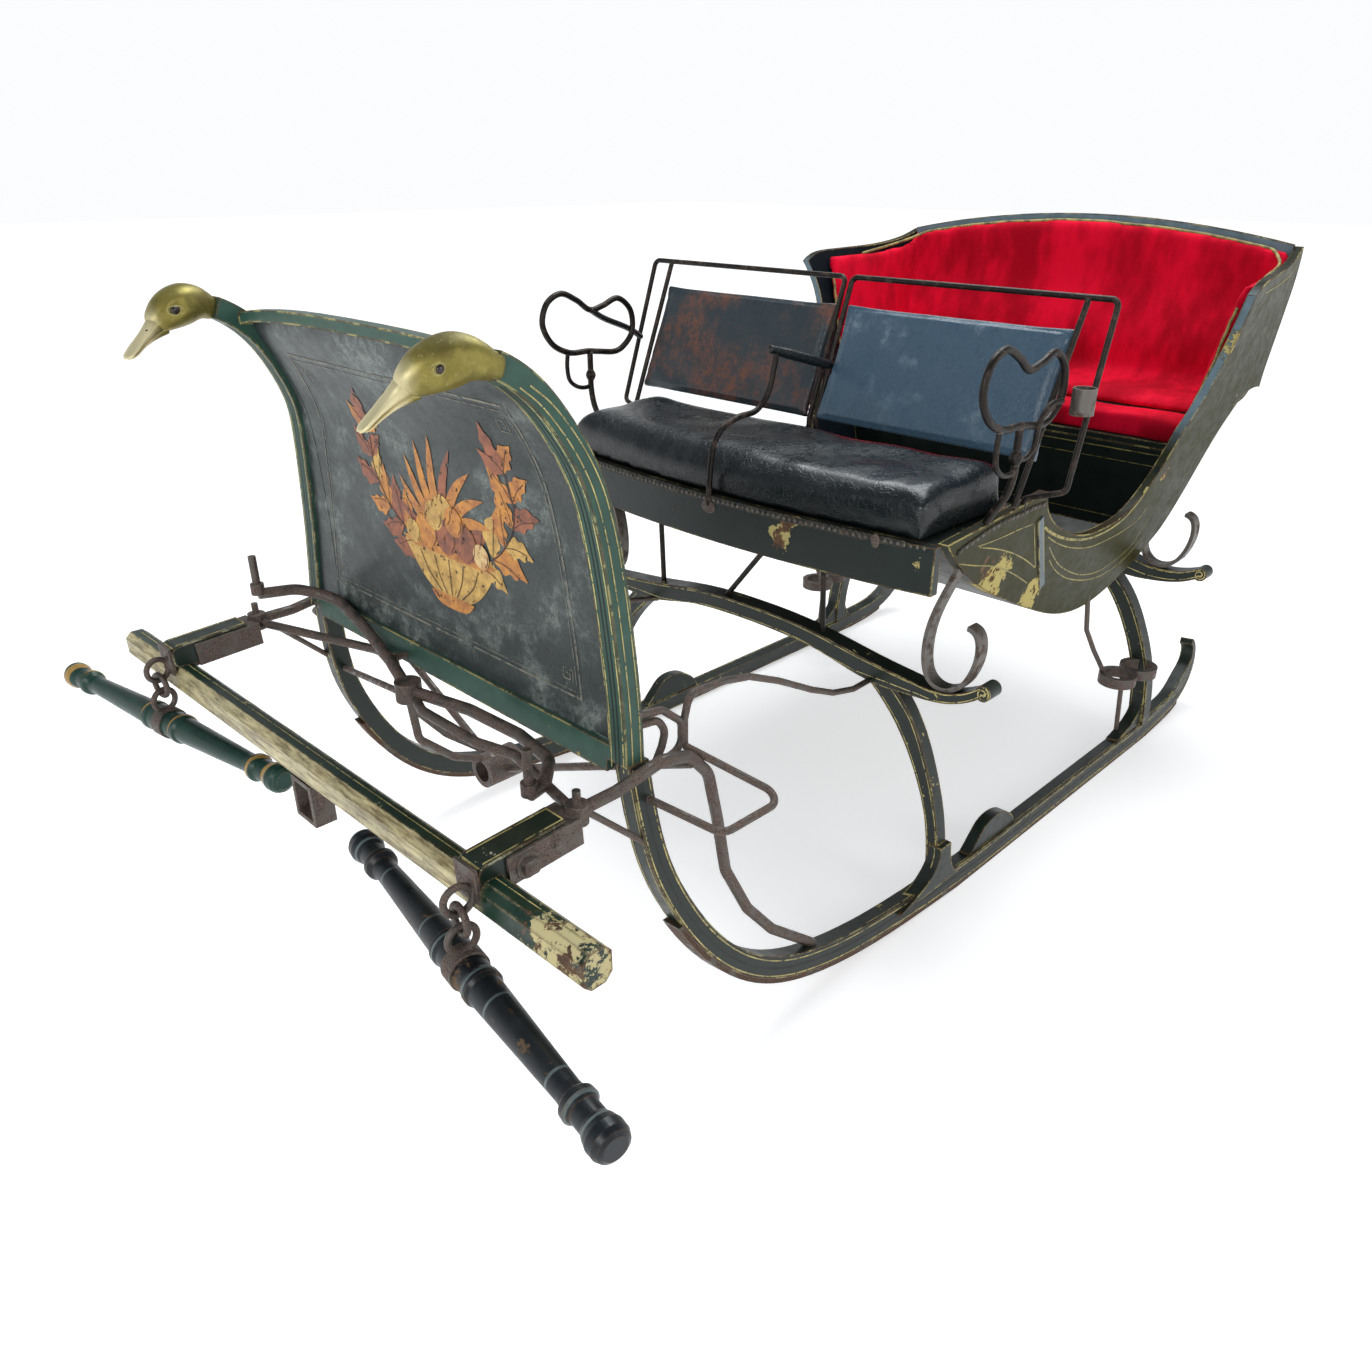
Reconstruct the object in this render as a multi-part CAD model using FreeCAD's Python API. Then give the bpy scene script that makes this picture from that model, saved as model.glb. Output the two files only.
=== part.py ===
import FreeCAD, Part
import math
import os

# Horse-drawn sleigh for a pair of horses: two bent-wood runners, a curved dash with
# two brass duck heads, a driver's seat on irons and a tub with an upholstered rear seat.
# Millimetres. X is across (the sleigh's own left is +X), the front faces -Y, Z is up,
# and the origin lies on the ground in the middle of the sleigh.

os.makedirs("parts", exist_ok=True)

V = FreeCAD.Vector
ALONG_X = V(1, 0, 0)
ALONG_Y = V(0, 1, 0)
ALONG_Z = V(0, 0, 1)
OVERRUN = 400.0
FAR = 4000.0

# The layout below is drawn from the front bolster's side; this is the Y of the sleigh's middle
MIDDLE_Y = -37.0

# Runners: bent bars in planes that lean inwards
TRACK_HALF = 530.0
RUNNER_LEAN = 73.0
RUNNER_TOP_HALF = TRACK_HALF - RUNNER_LEAN
RUNNER_TOP_Z = 632.0
RUNNER_FRONT_Y = -917.0
FLAT_START_Y = 0.0
FLAT_END_Y = 880.0
RUNNER_END_Y = 1219.0
RUNNER_WIDTH = 34.0
RUNNER_DEPTH = 42.0
HORN_RISE = 196.0
SHOE_THICK = 6.0
SHOE_SPARE = 3.0
SHOE_TOP_Z = 330.0
SHOE_END_SHARE = 0.66
FRONT_CURVE_SHARES = [(0, 0), (0.29, 0.028), (0.54, 0.085), (0.635, 0.128), (0.722, 0.19),
                      (0.803, 0.282), (0.873, 0.402), (0.932, 0.55), (0.972, 0.70),
                      (0.992, 0.86), (1, 1.02)]
FRONT_DEPTH_SHARES = [1, 1, 1, 0.98, 0.95, 0.92, 0.9, 0.88, 0.86, 0.86, 0.86]
HORN_CURVE_SHARES = [(0, 0), (0.34, 0.05), (0.66, 0.14), (0.87, 0.33), (0.975, 0.6),
                     (0.975, 0.83), (0.90, 1)]
HORN_DEPTH_SHARES = [1, 1, 1.04, 1.08, 0.72, 0.44, 0.40]

# Dash: stiles and a bottom rail in one curved sheet, a board across the top, a leather panel
DASH_FRONT_Y = -912.0
DASH_OVERHANG = 132.0
DASH_RISE = 556.0
DASH_SWEEP = 69.0
DASH_THICK = 34.0
DASH_FOOT_DROP = 20.0
STILE_WIDTH = 36.0
BOTTOM_RAIL_HEIGHT = 44.0
DASH_PROFILE_SHARES = [(0.052, -0.045), (0.008, 0.158), (0, 0.302), (0.015, 0.482), (0.053, 0.626),
                       (0.106, 0.698), (0.22, 0.77), (0.386, 0.842), (0.621, 0.914),
                       (0.82, 0.953), (1, 0.977)]
PANEL_PROFILE_SHARES = [(0.052, -0.045), (0.008, 0.158), (0, 0.302), (0.015, 0.482),
                        (0.053, 0.626), (0.106, 0.698), (0.22, 0.77), (0.37, 0.842),
                        (0.545, 0.914), (0.62, 1.01)]
DASH_EDGE_SHARES = [(0, 0), (0.158, 0.116), (0.302, 0.26), (0.482, 0.449), (0.626, 0.638),
                    (0.698, 0.739), (0.77, 0.812), (0.842, 0.90), (0.914, 0.97),
                    (0.953, 0.985), (1.08, 0.96)]
PANEL_THICK = 12.0
PANEL_SET_BACK = 8.0
TOP_RAIL_Y = -1004.0
TOP_RAIL_DEPTH = 22.0
TOP_RAIL_HALF = RUNNER_TOP_HALF - DASH_SWEEP - STILE_WIDTH / 2
TOP_RAIL_LOW_Z = 1162.0
TOP_RAIL_ARCH = 19.0
TOP_RAIL_HEIGHT = 18.0
TOP_RAIL_SHARES = [(0, 0), (0.5, 0.14), (0.82, 0.55), (0.92, 0.80), (1, 1.2)]

# Duck heads at the top corners of the dash: sections by X offset, Y ahead, Z up, half
# width and half height, in shares of the head's length and height
HEAD_X = RUNNER_TOP_HALF - 78.0
NECK_Y = -1033.0
NECK_Z = 1185.0
HEAD_LENGTH = 160.0
HEAD_HEIGHT = 60.0
HEAD_SHARES = [(0, -0.02, 0.03, 0.105, 0.27), (-0.02, 0.09, 0.13, 0.13, 0.33),
               (-0.05, 0.21, 0.20, 0.17, 0.43), (-0.085, 0.36, 0.15, 0.195, 0.48),
               (-0.125, 0.52, 0.03, 0.18, 0.42), (-0.165, 0.65, -0.10, 0.14, 0.32),
               (-0.19, 0.72, -0.20, 0.10, 0.22)]
BILL_SHARES = [(-0.18, 0.66, -0.27, 0.105, 0.22), (-0.21, 0.80, -0.47, 0.09, 0.13),
               (-0.23, 0.91, -0.70, 0.10, 0.09), (-0.245, 1, -0.90, 0.055, 0.05)]

# Bolsters and their legs: the wooden arches that carry the body
FRONT_BOLSTER_Y = -115.0
REAR_BOLSTER_Y = 875.0
FRONT_BOLSTER_HALF = 575.0
REAR_BOLSTER_HALF = 590.0
FRONT_CROWN_Z = 527.0
REAR_CROWN_Z = 545.0
BOLSTER_SEAT_Z = 484.0
BOLSTER_WIDTH = 42.0
BOLSTER_DEPTH = 33.0
SCROLL_RADIUS = 16.0
FRONT_TOP_SHARES = [(0, 0), (0.17, 0.05), (0.33, 0.24), (0.525, 0.62), (0.61, 0.77), (0.74, 0.95),
                    (0.837, 1), (0.93, 0.60), (1, -0.05)]
FRONT_BEAM_SHARES = [1.1, 1.1, 1.1, 1.3, 1.25, 0.9, 0.66, 0.6, 0.5]
REAR_TOP_SHARES = [(0, 0), (0.25, 0.10), (0.51, 0.38), (0.68, 0.73), (0.81, 1), (0.915, 0.93),
                   (1, 0.60)]
REAR_BEAM_SHARES = [0.95, 0.95, 1.1, 1.55, 1.05, 0.8, 0.6]
LEG_TOP_HALF = 250.0
LEG_TOP_Z = 498.0
FRONT_LEG_HALF = TRACK_HALF - 31.0
REAR_LEG_HALF = TRACK_HALF - 41.0
FRONT_LEG_WIDTH = 31.0
REAR_LEG_WIDTH = 38.0
LEG_DEPTH = 42.0
LEG_CURVE_SHARES = [(0, 1), (0.25, 0.92), (0.56, 0.77), (0.79, 0.582), (0.925, 0.405),
                    (0.99, 0.18), (1, 0.02)]
FRONT_LEG_SHARES = [0.4, 0.95, 1.05, 0.8, 0.66, 0.66, 0.72]
REAR_LEG_SHARES = [0.25, 0.7, 1, 1, 1, 1.02, 1.05]
FOOT_TOE = 150.0
FOOT_HEEL = 62.0
FOOT_HEIGHT = 95.0
FOOT_WIDTH = 30.0
FOOT_CURVE_SHARES = [(-1, 0), (-0.72, 0.10), (-0.40, 0.28), (-0.16, 0.66), (-0.13, 1)]
HEEL_CURVE_SHARES = [(0.30, 1), (0.42, 0.55), (0.70, 0.18), (1, 0)]
COVER_Y = 14.0
COVER_LENGTH = 192.0
COVER_HEIGHT = 58.0
COVER_WIDTH = 26.0
COVER_SHARES = [(0, 0), (0.16, 0.5), (0.3, 0.88), (0.55, 1), (0.8, 0.72), (1, 0)]

# Body irons: flat hooks that stand on the bolster ends and carry the body
IRON_WIDTH = 30.0
IRON_THICK = 9.0
IRON_FOOT_HALF = 484.0
IRON_RISE_FRONT = 262.0
IRON_RISE_REAR = 122.0
IRON_CURL = 148.0
IRON_REACH = 64.0
IRON_SINK = 14.0
IRON_UP_SHARES = [(1, 1), (0.5, 0.74)]
IRON_FOOT_SHARES = [(-0.8, 0.475), (-0.45, 0.06), (0, 0), (0.55, 0.097), (1, 0.42), (1.1, 0.72),
                    (0.95, 0.93), (0.62, 1)]

# Tub: side panels that flare outwards, with a cut-away entry on each side
TUB_FLOOR_HALF = 428.0
TUB_FLOOR_Z = 430.0
TUB_WAIST_HALF = 525.0
TUB_WAIST_Z = 850.0
TUB_WING_HALF = 613.0
TUB_WING_Z = 1151.0
TUB_BACK_HALF = 546.0
TUB_CORNER_Z = 1219.0
TUB_CROWN_Z = 1276.0
TUB_WING_Y = 745.0
TUB_BACK_Y = 1200.0
TUB_TIP_Y = -217.0
SIDE_THICK = 20.0
BACK_THICK = 18.0
FLOOR_THICK = 16.0
BULKHEAD_THICK = 16.0
BULKHEAD_Y = 66.0
TUB_BOTTOM_SHARES = [(0, 0.477), (0.155, 0.285), (0.273, 0.184), (0.426, 0.067), (0.593, 0.022),
                     (0.648, 0.045), (0.778, 0.177)]
TUB_UNDER_SHARES = [(0.778, 0.177), (0.827, 0.376), (0.859, 0.511), (0.98, 0.588)]
TUB_BACK_SHARES = [(0.98, 0.588), (0.981, 0.665), (1.002, 0.842), (0.999, 1.0), (0.995, 1.08)]
TUB_ENTRY_SHARES = [(0.236, 0.515), (0.25, 0.476), (0.30, 0.405), (0.36, 0.354), (0.445, 0.309),
                    (0.52, 0.303), (0.585, 0.326), (0.634, 0.403), (0.657, 0.475), (0.667, 0.53)]
TUB_WING_SHARES = [(0.667, 0.53), (0.688, 0.62), (0.697, 0.70), (0.70, 0.78), (0.692, 0.86),
                   (0.680, 0.910)]
TUB_TOP_SHARES = [(0.680, 0.910), (0.705, 0.933), (0.75, 0.944), (0.90, 0.958), (0.999, 1.0)]

# Driver's seat
BOARD_LOW_Z = 714.0
BOARD_TOP_Z = 803.0
BOARD_THICK = 20.0
BOARD_END_Y = -236.0
BOARD_BOW = 46.0
BOARD_HALF = TUB_WAIST_HALF - SIDE_THICK - 2.0
DECK_THICK = 14.0
CUSHION_GAP = 0.4
CUSHION_FRONT = 60.0
CUSHION_BACK = 102.0
CUSHION_HALF = BOARD_HALF - 17.0
CUSHION_BACK_Y = 40.0
CUSHION_NOSE_SHARE = 0.5
CUSHION_MIDDLE_SHARE = 0.54

# Backrests and their rails
REST_FOOT_Y = 34.0
REST_FOOT_Z = 905.0
REST_RISE = 232.0
REST_LEAN = 96.0
REST_THICK = 18.0
RAIL_RADIUS = 5.5
RAIL_BEND = 14.0
RAIL_INNER_X = 9.0
RAIL_POST_X = TUB_WAIST_HALF + 2.0
RAIL_OUTER_X = TUB_WAIST_HALF + 58.0
RAIL_SPLAY = 7.0
RAIL_TOP_Y = 146.0
RAIL_TOP_Z = 1184.0
RAIL_FOOT_Y = 42.0
RAIL_BACK_Y = 47.0

# Armrests: a butterfly loop on a post, with a grip on the right and a stay on the left
LOOP_X = TUB_WAIST_HALF + 31.0
LOOP_RADIUS = 7.0
LOOP_BEND = 24.0
LOOP_MIDDLE_Y = -98.0
LOOP_LOW_Z = 1000.0
LOOP_LENGTH = 268.0
LOOP_HEIGHT = 130.0
LOOP_SHARES = [(0, 0), (0.104, -0.03), (0.354, -0.04), (0.50, 0.23), (0.489, 0.615),
               (0.336, 0.85), (0.164, 0.75), (0.026, 0.70), (-0.131, 0.89), (-0.306, 1.02),
               (-0.448, 0.885), (-0.507, 0.57), (-0.414, 0.21), (-0.246, 0.03), (-0.03, 0)]
POST_KNEE_Z = 900.0
POST_FOOT_Z = 820.0
POST_KNOB_Z = 945.0
POST_KNOB_RADIUS = 12.0
CURL_RADIUS = 5.0
CURL_SHARES = [(-0.25, 0.02), (-0.245, -0.44), (-0.13, -0.61), (0, -0.61)]
STAY_SHARES = [(0, 0, -0.42), (0.12, 0.40, -0.45), (0.32, 0.42, 0.02), (0.6, 0.74, 0.24),
               (1, 1, 0.24)]
GRIP_LOW_Z = 1007.0
CENTRE_X = 8.0
CENTRE_ROD_RADIUS = 6.0
CENTRE_FOOT_Z = 786.0
CENTRE_HEIGHT = 281.0
CENTRE_REACH = 185.0
CENTRE_SHARES = [(0, 0), (0.01, 0.18), (0.03, 0.31), (0.07, 0.42), (0.175, 0.51), (0.42, 0.57),
                 (0.76, 0.60), (0.92, 0.70), (0.99, 0.83), (1, 0.99), (0.93, 1.0)]
CENTRE_TIP_Z = 1012.0
GRIP_RADIUS = 10.0

# Whip socket on the left outer rail
WHIP_Z = 1000.0
WHIP_HEIGHT = 46.0
WHIP_RADIUS = 21.0
WHIP_BORE = 17.0
WHIP_TOUCH = 1.1

# Rear seat and linings
REAR_SEAT_Z = 775.0
REAR_SEAT_FRONT_Y = 850.0
REAR_BOARD_THICK = 16.0
RISER_THICK = 14.0
REAR_CUSHION_THICK = 50.0
LINING_THICK = 22.0
LINING_GAP = 0.4
LINING_MARGIN = 14.0

# Draft irons, their blocks and the crossbar
ARM_X = RUNNER_TOP_HALF + 15.0
ARM_LAND_X = TRACK_HALF - 33.0
ARM_RADIUS = 9.5
ARM_BEND = 46.0
ARM_NECK_Y = -1040.0
ARM_REACH = 533.0
ARM_LAND_Z = 104.0
ARM_DROP = 526.0
ARM_SHARES = [(0, 0, 0.962), (0, 0.069, 0.975), (0, 0.168, 0.975), (0, 0.333, 1.0),
              (0, 0.437, 0.973), (0.05, 0.512, 0.886), (0.2, 0.546, 0.715),
              (0.5, 0.570, 0.525), (0.9, 0.654, 0.344), (1, 0.776, 0.192), (1, 1, 0)]
BOSS_RADIUS = 16.0
BOSS_HEIGHT = 30.0
BOSS_Y = -1021.0
BOSS_Z = 600.0
KNOB_RADIUS = 6.0
KNOB_HEIGHT = 50.0
STRAP_RADIUS = 5.0
STRAP_END_Y = -890.0
STRAP_END_Z = 498.0
BLOCK_WIDTH = 46.0
BLOCK_HEIGHT = 42.0
BLOCK_LENGTH = 142.0
BLOCK_SLOPE = 3.0
BLOCK_FRONT_Y = -1193.0
BLOCK_FRONT_Z = 577.0
BLOCK_NOSE = 14.0
CHEEK_THICK = 5.0
CROSSBAR_HALF = ARM_X + 215.0
CROSSBAR_Y = -1173.0
CROSSBAR_Z = 561.0
CROSSBAR_HEIGHT = 52.0
CROSSBAR_DEPTH = 44.0
CROSSBAR_CHAMFER = 11.0
CROSSBAR_TILT = 0.95
POLE_LOOP_WIDTH = 62.0
POLE_LOOP_HEIGHT = 74.0
POLE_LOOP_DEPTH = 36.0
POLE_LOOP_WALL = 8.0

# Hook bar: bent upwards on the right, with an upright pin at each end and its braces
HOOK_BAR_Y = -985.0
HOOK_BAR_Z = 620.0
HOOK_BAR_HALF = ARM_X - 74.0
HOOK_BAR_SWEEP = 68.0
HOOK_BAR_RISE = 72.0
HOOK_BAR_RADIUS = 10.0
HOOK_LEFT_SHARES = [(0, 0, 0), (0.322, 0.44, 0), (0.628, 0.53, 0), (0.859, 0.31, 0),
                    (0.982, -0.40, 0), (0.998, -0.85, 0)]
HOOK_RIGHT_SHARES = [(0, 0, 0), (0.281, 0.456, 0.18), (0.578, 0.79, 0.42), (0.857, 1, 0.625),
                     (0.93, 0.56, 0.83), (0.985, 0.2, 0.93), (1.015, -0.76, 1)]
PIN_RADIUS = 7.0
PIN_HEIGHT = 72.0
PIN_COLLAR_RADIUS = 12.0
PIN_COLLAR_HEIGHT = 20.0
BRACE_RADIUS = 8.0
BRACE_DROP = 8.0
BRACE_LEFT_SHARES = [(0, 0.10), (0.136, -0.25), (0.45, -0.235), (0.60, 0.03), (0.82, -0.28),
                     (1, -0.53)]
BRACE_RIGHT_SHARES = [(0, 0.10), (0.104, 0.25), (0.244, 0.59), (0.40, 0.86), (1, -0.53)]
CENTRE_BOSS_RADIUS = 22.0
CENTRE_BOSS_HEIGHT = 34.0
BRACKET_X = 112.0
BRACKET_RADIUS = 6.0
TIE_END_Y = -868.0
TIE_END_Z = 467.0

# Pole socket, its hanger from the hook bar and its stays to the draft irons
POLE_SOCKET_Y = -824.0
POLE_SOCKET_Z = 411.0
POLE_SOCKET_RADIUS = 31.0
POLE_SOCKET_BORE = 20.0
POLE_SOCKET_LENGTH = 72.0
HANGER_RADIUS = 7.0
HANGER_SHARES = [(0, 0, 0), (0, 0.06, 0.47), (0, 0.55, 0.84), (0, 1, 1)]
SOCKET_STAY_RADIUS = 7.0
SOCKET_STAY_Z = 600.0
SOCKET_STAY_Y = -803.0

# Singletrees: turned bars, each swinging on its link
SINGLETREE_X = ARM_X
SINGLETREE_Y = -1216.0
SINGLETREE_Z = 470.0
SINGLETREE_HALF = 352.0
SINGLETREE_RADIUS = 26.0
SINGLETREE_YAW = 8.5
RING_ROD = 5.0
RING_RADIUS = 20.0
RING_GAP = 0.3
BAND_THICK = 3.0
BAND_WIDTH = 26.0
TURNED_SHARES = [(0, 1), (0.10, 0.97), (0.118, 1.06), (0.145, 1.06), (0.16, 0.92), (0.72, 0.66),
                 (0.755, 0.70), (0.775, 0.93), (0.80, 0.95), (0.82, 0.74), (0.88, 0.74),
                 (0.90, 0.86), (0.935, 0.99), (0.97, 0.97), (0.99, 0.84), (1, 0.62)]

# Step irons
STEP_RADIUS = 6.0
STEP_BEND = 22.0
RING_OUTER = 46.0
RING_INNER = 32.0
RING_THICK = 26.0
RING_Z = 204.0
FIRST_RING_X = TRACK_HALF - 44.0
FIRST_RING_Y = 738.0
SECOND_RING_X = TRACK_HALF - 29.0
SECOND_RING_Y = 826.0
RING_POST_Y = 775.0
RING_STAY_X = TUB_FLOOR_HALF + 2.0
RING_STAY_Y = 600.0
RING_STAY_Z = 472.0
RING_STAY_SHARES = [(0, 0, 0), (0.15, 0.17, 0.42), (0.5, 0.55, 0.70), (1, 1, 1)]
STEP_X = RUNNER_TOP_HALF - 11.0
STEP_REACH = 143.0
STEP_BACK_Y = -791.0
STEP_HIGH_Z = 616.0
STEP_FRONT_Y = -885.0
STEP_LOW_Z = 556.0
STEP_LOOP_SHARES = [(0, 0, 0.27), (0.99, 0.31, 0), (1, 1.73, 0), (0, 1, 1)]
LEG_END_X = 316.0
LEG_END_Z = 450.0
STEP_BRACE_SHARES = [(0, 0, 0), (0, 0, -0.27), (-0.03, 0.01, -0.52), (0.10, 0.15, -0.41),
                     (0.215, 0.26, -0.27), (0.377, 0.409, 0.03), (0.577, 0.597, 0.457),
                     (0.723, 0.733, 0.732), (0.869, 0.87, 0.921), (1, 1, 1)]
OUTER_C_SHARES = [(0, 0, 0.9), (0, 0.55, 0.8), (0, 1, 0.45), (0, 1, 0), (0, 0, -0.2)]
INNER_C_SHARES = [(0, 0, 0.72), (0, 0.46, 0.66), (0, 0.62, 0.42), (0, 0.54, 0.18), (0, 0.36, -0.1)]
C_HEIGHT = 96.0

# Rods between the front bolster and the driver's seat
SEAT_STAY_RADIUS = 6.0
LEFT_STAY_X = 184.0
RIGHT_STAY_X = -294.0
STAY_LEAN = 14.0
CROSS_STAY_LOW_X = -112.0
CROSS_STAY_HIGH_X = 104.0

LEAN_ANGLE = math.degrees(math.atan(RUNNER_LEAN / RUNNER_TOP_Z))


def save(shape, name):
    """Write one node as a STEP file."""
    placed = shape.copy()
    placed.translate(V(0, -MIDDLE_Y, 0))
    placed.exportStep("parts/" + name + ".step")


def mirrored(shape):
    """The same piece on the sleigh's right side."""
    return shape.mirror(V(), ALONG_X)


def both_sides(shape, name):
    """Write a left piece and its mirrored twin."""
    save(shape, name + "_left")
    save(mirrored(shape), name + "_right")


def smooth(points):
    """One smooth edge through the points."""
    curve = Part.BSplineCurve()
    curve.interpolate(points)
    return curve.toShape()


def beside(points, amounts, axis):
    """Points to the left of a flat curve seen along the axis, each by its own amount."""
    curve = Part.BSplineCurve()
    curve.interpolate(points)
    moved = []
    for point, amount in zip(points, amounts):
        tangent = curve.tangent(curve.parameter(point))[0]
        tangent.normalize()
        moved.append(point + axis.cross(tangent) * amount)
    return moved


def prism(edges, axis, low, high):
    """Extrude the flat face inside the edges along the axis, from low to high."""
    face = Part.Face(Part.Wire(Part.__sortEdges__(edges)))
    face.translate(axis * low)
    return face.extrude(axis * (high - low))


def polygon(points):
    """Straight edges round the points."""
    return Part.makePolygon(points + [points[0]]).Edges


def between(shares, start, end):
    """Points placed by shares of the way from one corner to another, axis by axis."""
    span = end - start
    return [start + V(span.x * x, span.y * y, span.z * z) for x, y, z in shares]


def from_middle(half):
    """A whole row of shares from the half that runs outwards from the middle."""
    return [(-x, z) for x, z in reversed(half[1:])] + half


def bent_bar(points, near, far, axis, low, high):
    """A flat bar that follows the points, between two distances from them."""
    first = beside(points, near, axis)
    second = beside(points, far, axis)
    edges = [smooth(first), smooth(second)]
    edges.append(Part.makeLine(first[0], second[0]))
    edges.append(Part.makeLine(first[-1], second[-1]))
    return prism(edges, axis, low, high)


def box(x0, x1, y0, y1, z0, z1):
    """A box between six planes."""
    return Part.makeBox(x1 - x0, y1 - y0, z1 - z0, V(x0, y0, z0))


def rounded_path(points, bend):
    """Straight runs joined by tangent arcs."""
    edges = []
    start = points[0]
    for before, corner, after in zip(points, points[1:], points[2:]):
        back = (before - corner)
        ahead = (after - corner)
        shorter = min(back.Length, ahead.Length)
        back.normalize()
        ahead.normalize()
        half_turn = (math.pi - back.getAngle(ahead)) / 2
        cut = min(bend * math.tan(half_turn), 0.46 * shorter)
        radius = cut / math.tan(half_turn)
        towards = back + ahead
        towards.normalize()
        centre = corner + towards * (radius / math.cos(half_turn))
        enter = corner + back * cut
        leave = corner + ahead * cut
        middle = centre - towards * radius
        edges.append(Part.makeLine(start, enter))
        edges.append(Part.Arc(enter, middle, leave).toShape())
        start = leave
    edges.append(Part.makeLine(start, points[-1]))
    return Part.Wire(edges)


def bent_rod(points, radius, bend):
    """A round rod bent along the points."""
    path = rounded_path(points, bend)
    start = points[1] - points[0]
    section = Part.Wire(Part.Circle(points[0], start, radius).toShape())
    return path.makePipeShell([section], True, True)


def rod(start, end, radius):
    """A straight round rod."""
    along = end - start
    return Part.makeCylinder(radius, along.Length, start, along)


def largest(shape):
    """The largest solid of a shape."""
    return max(shape.Solids, key=lambda solid: solid.Volume)


def trimmed(shape, neighbours):
    """The largest piece that is left outside the neighbours."""
    for other in neighbours:
        shape = shape.cut(other)
    return largest(shape)


def in_lean(shape):
    """Turn an upright runner piece into its leaning plane on the left side."""
    shape.rotate(V(TRACK_HALF, 0, 0), ALONG_Y, -LEAN_ANGLE)
    return shape


def runner_spines():
    """Lower line of a runner: front curve from the ground up, and rear horn."""
    length = FLAT_START_Y - RUNNER_FRONT_Y
    rise = RUNNER_TOP_Z / math.cos(math.radians(LEAN_ANGLE))
    horn = RUNNER_END_Y - FLAT_END_Y
    front = [V(0, FLAT_START_Y - length * y, rise * z) for y, z in FRONT_CURVE_SHARES]
    rear = [V(0, FLAT_END_Y + horn * y, HORN_RISE * z) for y, z in HORN_CURVE_SHARES]
    return front, rear


def make_band(near, far, front_shares, horn_shares):
    """Outline edges of a band along the whole runner, in the plane X = 0."""
    front, rear = runner_spines()
    low_front = beside(front, [-near for _ in front], ALONG_X)
    high_front = beside(front, [-near - (far - near) * s for s in front_shares], ALONG_X)
    low_rear = beside(rear, [near * s for s in horn_shares], ALONG_X)
    high_rear = beside(rear, [far * s for s in horn_shares], ALONG_X)
    edges = [smooth(low_front), smooth(high_front), smooth(low_rear), smooth(high_rear)]
    edges.append(Part.makeLine(low_front[0], low_rear[0]))
    edges.append(Part.makeLine(high_front[0], high_rear[0]))
    edges.append(Part.makeLine(low_front[-1], high_front[-1]))
    edges.append(Part.makeLine(low_rear[-1], high_rear[-1]))
    return edges


def make_runner():
    """The bent wooden runner bar, from the dash foot to the rear horn."""
    band = make_band(SHOE_THICK, SHOE_THICK + RUNNER_DEPTH, FRONT_DEPTH_SHARES, HORN_DEPTH_SHARES)
    bar = in_lean(prism(band, ALONG_X, TRACK_HALF - RUNNER_WIDTH, TRACK_HALF))
    return bar.common(box(0, FAR, -FAR, FAR, 0, RUNNER_TOP_Z))


def make_shoe():
    """The steel strip under the runner, flat where it meets the ground."""
    even_front = [1 for _ in FRONT_CURVE_SHARES]
    even_rear = [1 for _ in HORN_CURVE_SHARES]
    band = make_band(-SHOE_SPARE, SHOE_THICK, even_front, even_rear)
    strip = in_lean(prism(band, ALONG_X, TRACK_HALF - RUNNER_WIDTH, TRACK_HALF))
    end_y = FLAT_END_Y + (RUNNER_END_Y - FLAT_END_Y) * SHOE_END_SHARE
    return strip.common(box(0, FAR, -FAR, end_y, 0, SHOE_TOP_Z))


def dash_sheet(shares, near, far):
    """A curved sheet between two depths behind the line through the shares."""
    points = [V(0, DASH_FRONT_Y - DASH_OVERHANG * y, RUNNER_TOP_Z + DASH_RISE * z)
              for y, z in shares]
    near_all = [-near for _ in points]
    far_all = [-far for _ in points]
    return bent_bar(points, near_all, far_all, ALONG_X, -TRACK_HALF, TRACK_HALF)


def dash_edge(inset):
    """Points of the dash's left outer line, drawn inwards by the inset."""
    return [V(RUNNER_TOP_HALF - inset - DASH_SWEEP * x, 0, RUNNER_TOP_Z + DASH_RISE * z)
            for z, x in DASH_EDGE_SHARES]


def dash_front(inset, bottom_z):
    """Front outline of the dash as a prism along Y, from a level up past its top."""
    points = dash_edge(inset)
    left = smooth(points)
    foot = V(points[0].x, 0, bottom_z)
    edges = [left, left.mirror(V(), ALONG_X), Part.makeLine(points[0], foot)]
    edges.append(Part.makeLine(V(-points[0].x, 0, points[0].z), V(-foot.x, 0, bottom_z)))
    edges.append(Part.makeLine(foot, V(-foot.x, 0, bottom_z)))
    edges.append(Part.makeLine(points[-1], V(-points[-1].x, 0, points[-1].z)))
    return prism(edges, ALONG_Y, -FAR, 0)


def arch(rise):
    """Arched edge across the dash's top, from side to side, with lower ends."""
    return [V(TOP_RAIL_HALF * x, 0, TOP_RAIL_LOW_Z + rise + TOP_RAIL_ARCH * (1 - z))
            for x, z in from_middle(TOP_RAIL_SHARES)]


def make_top_rail():
    """The arched board between the stiles' necks."""
    low = arch(0)
    high = arch(TOP_RAIL_HEIGHT)
    edges = [smooth(low), smooth(high), Part.makeLine(low[0], high[0]),
             Part.makeLine(low[-1], high[-1])]
    return prism(edges, ALONG_Y, TOP_RAIL_Y, TOP_RAIL_Y + TOP_RAIL_DEPTH)


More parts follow.
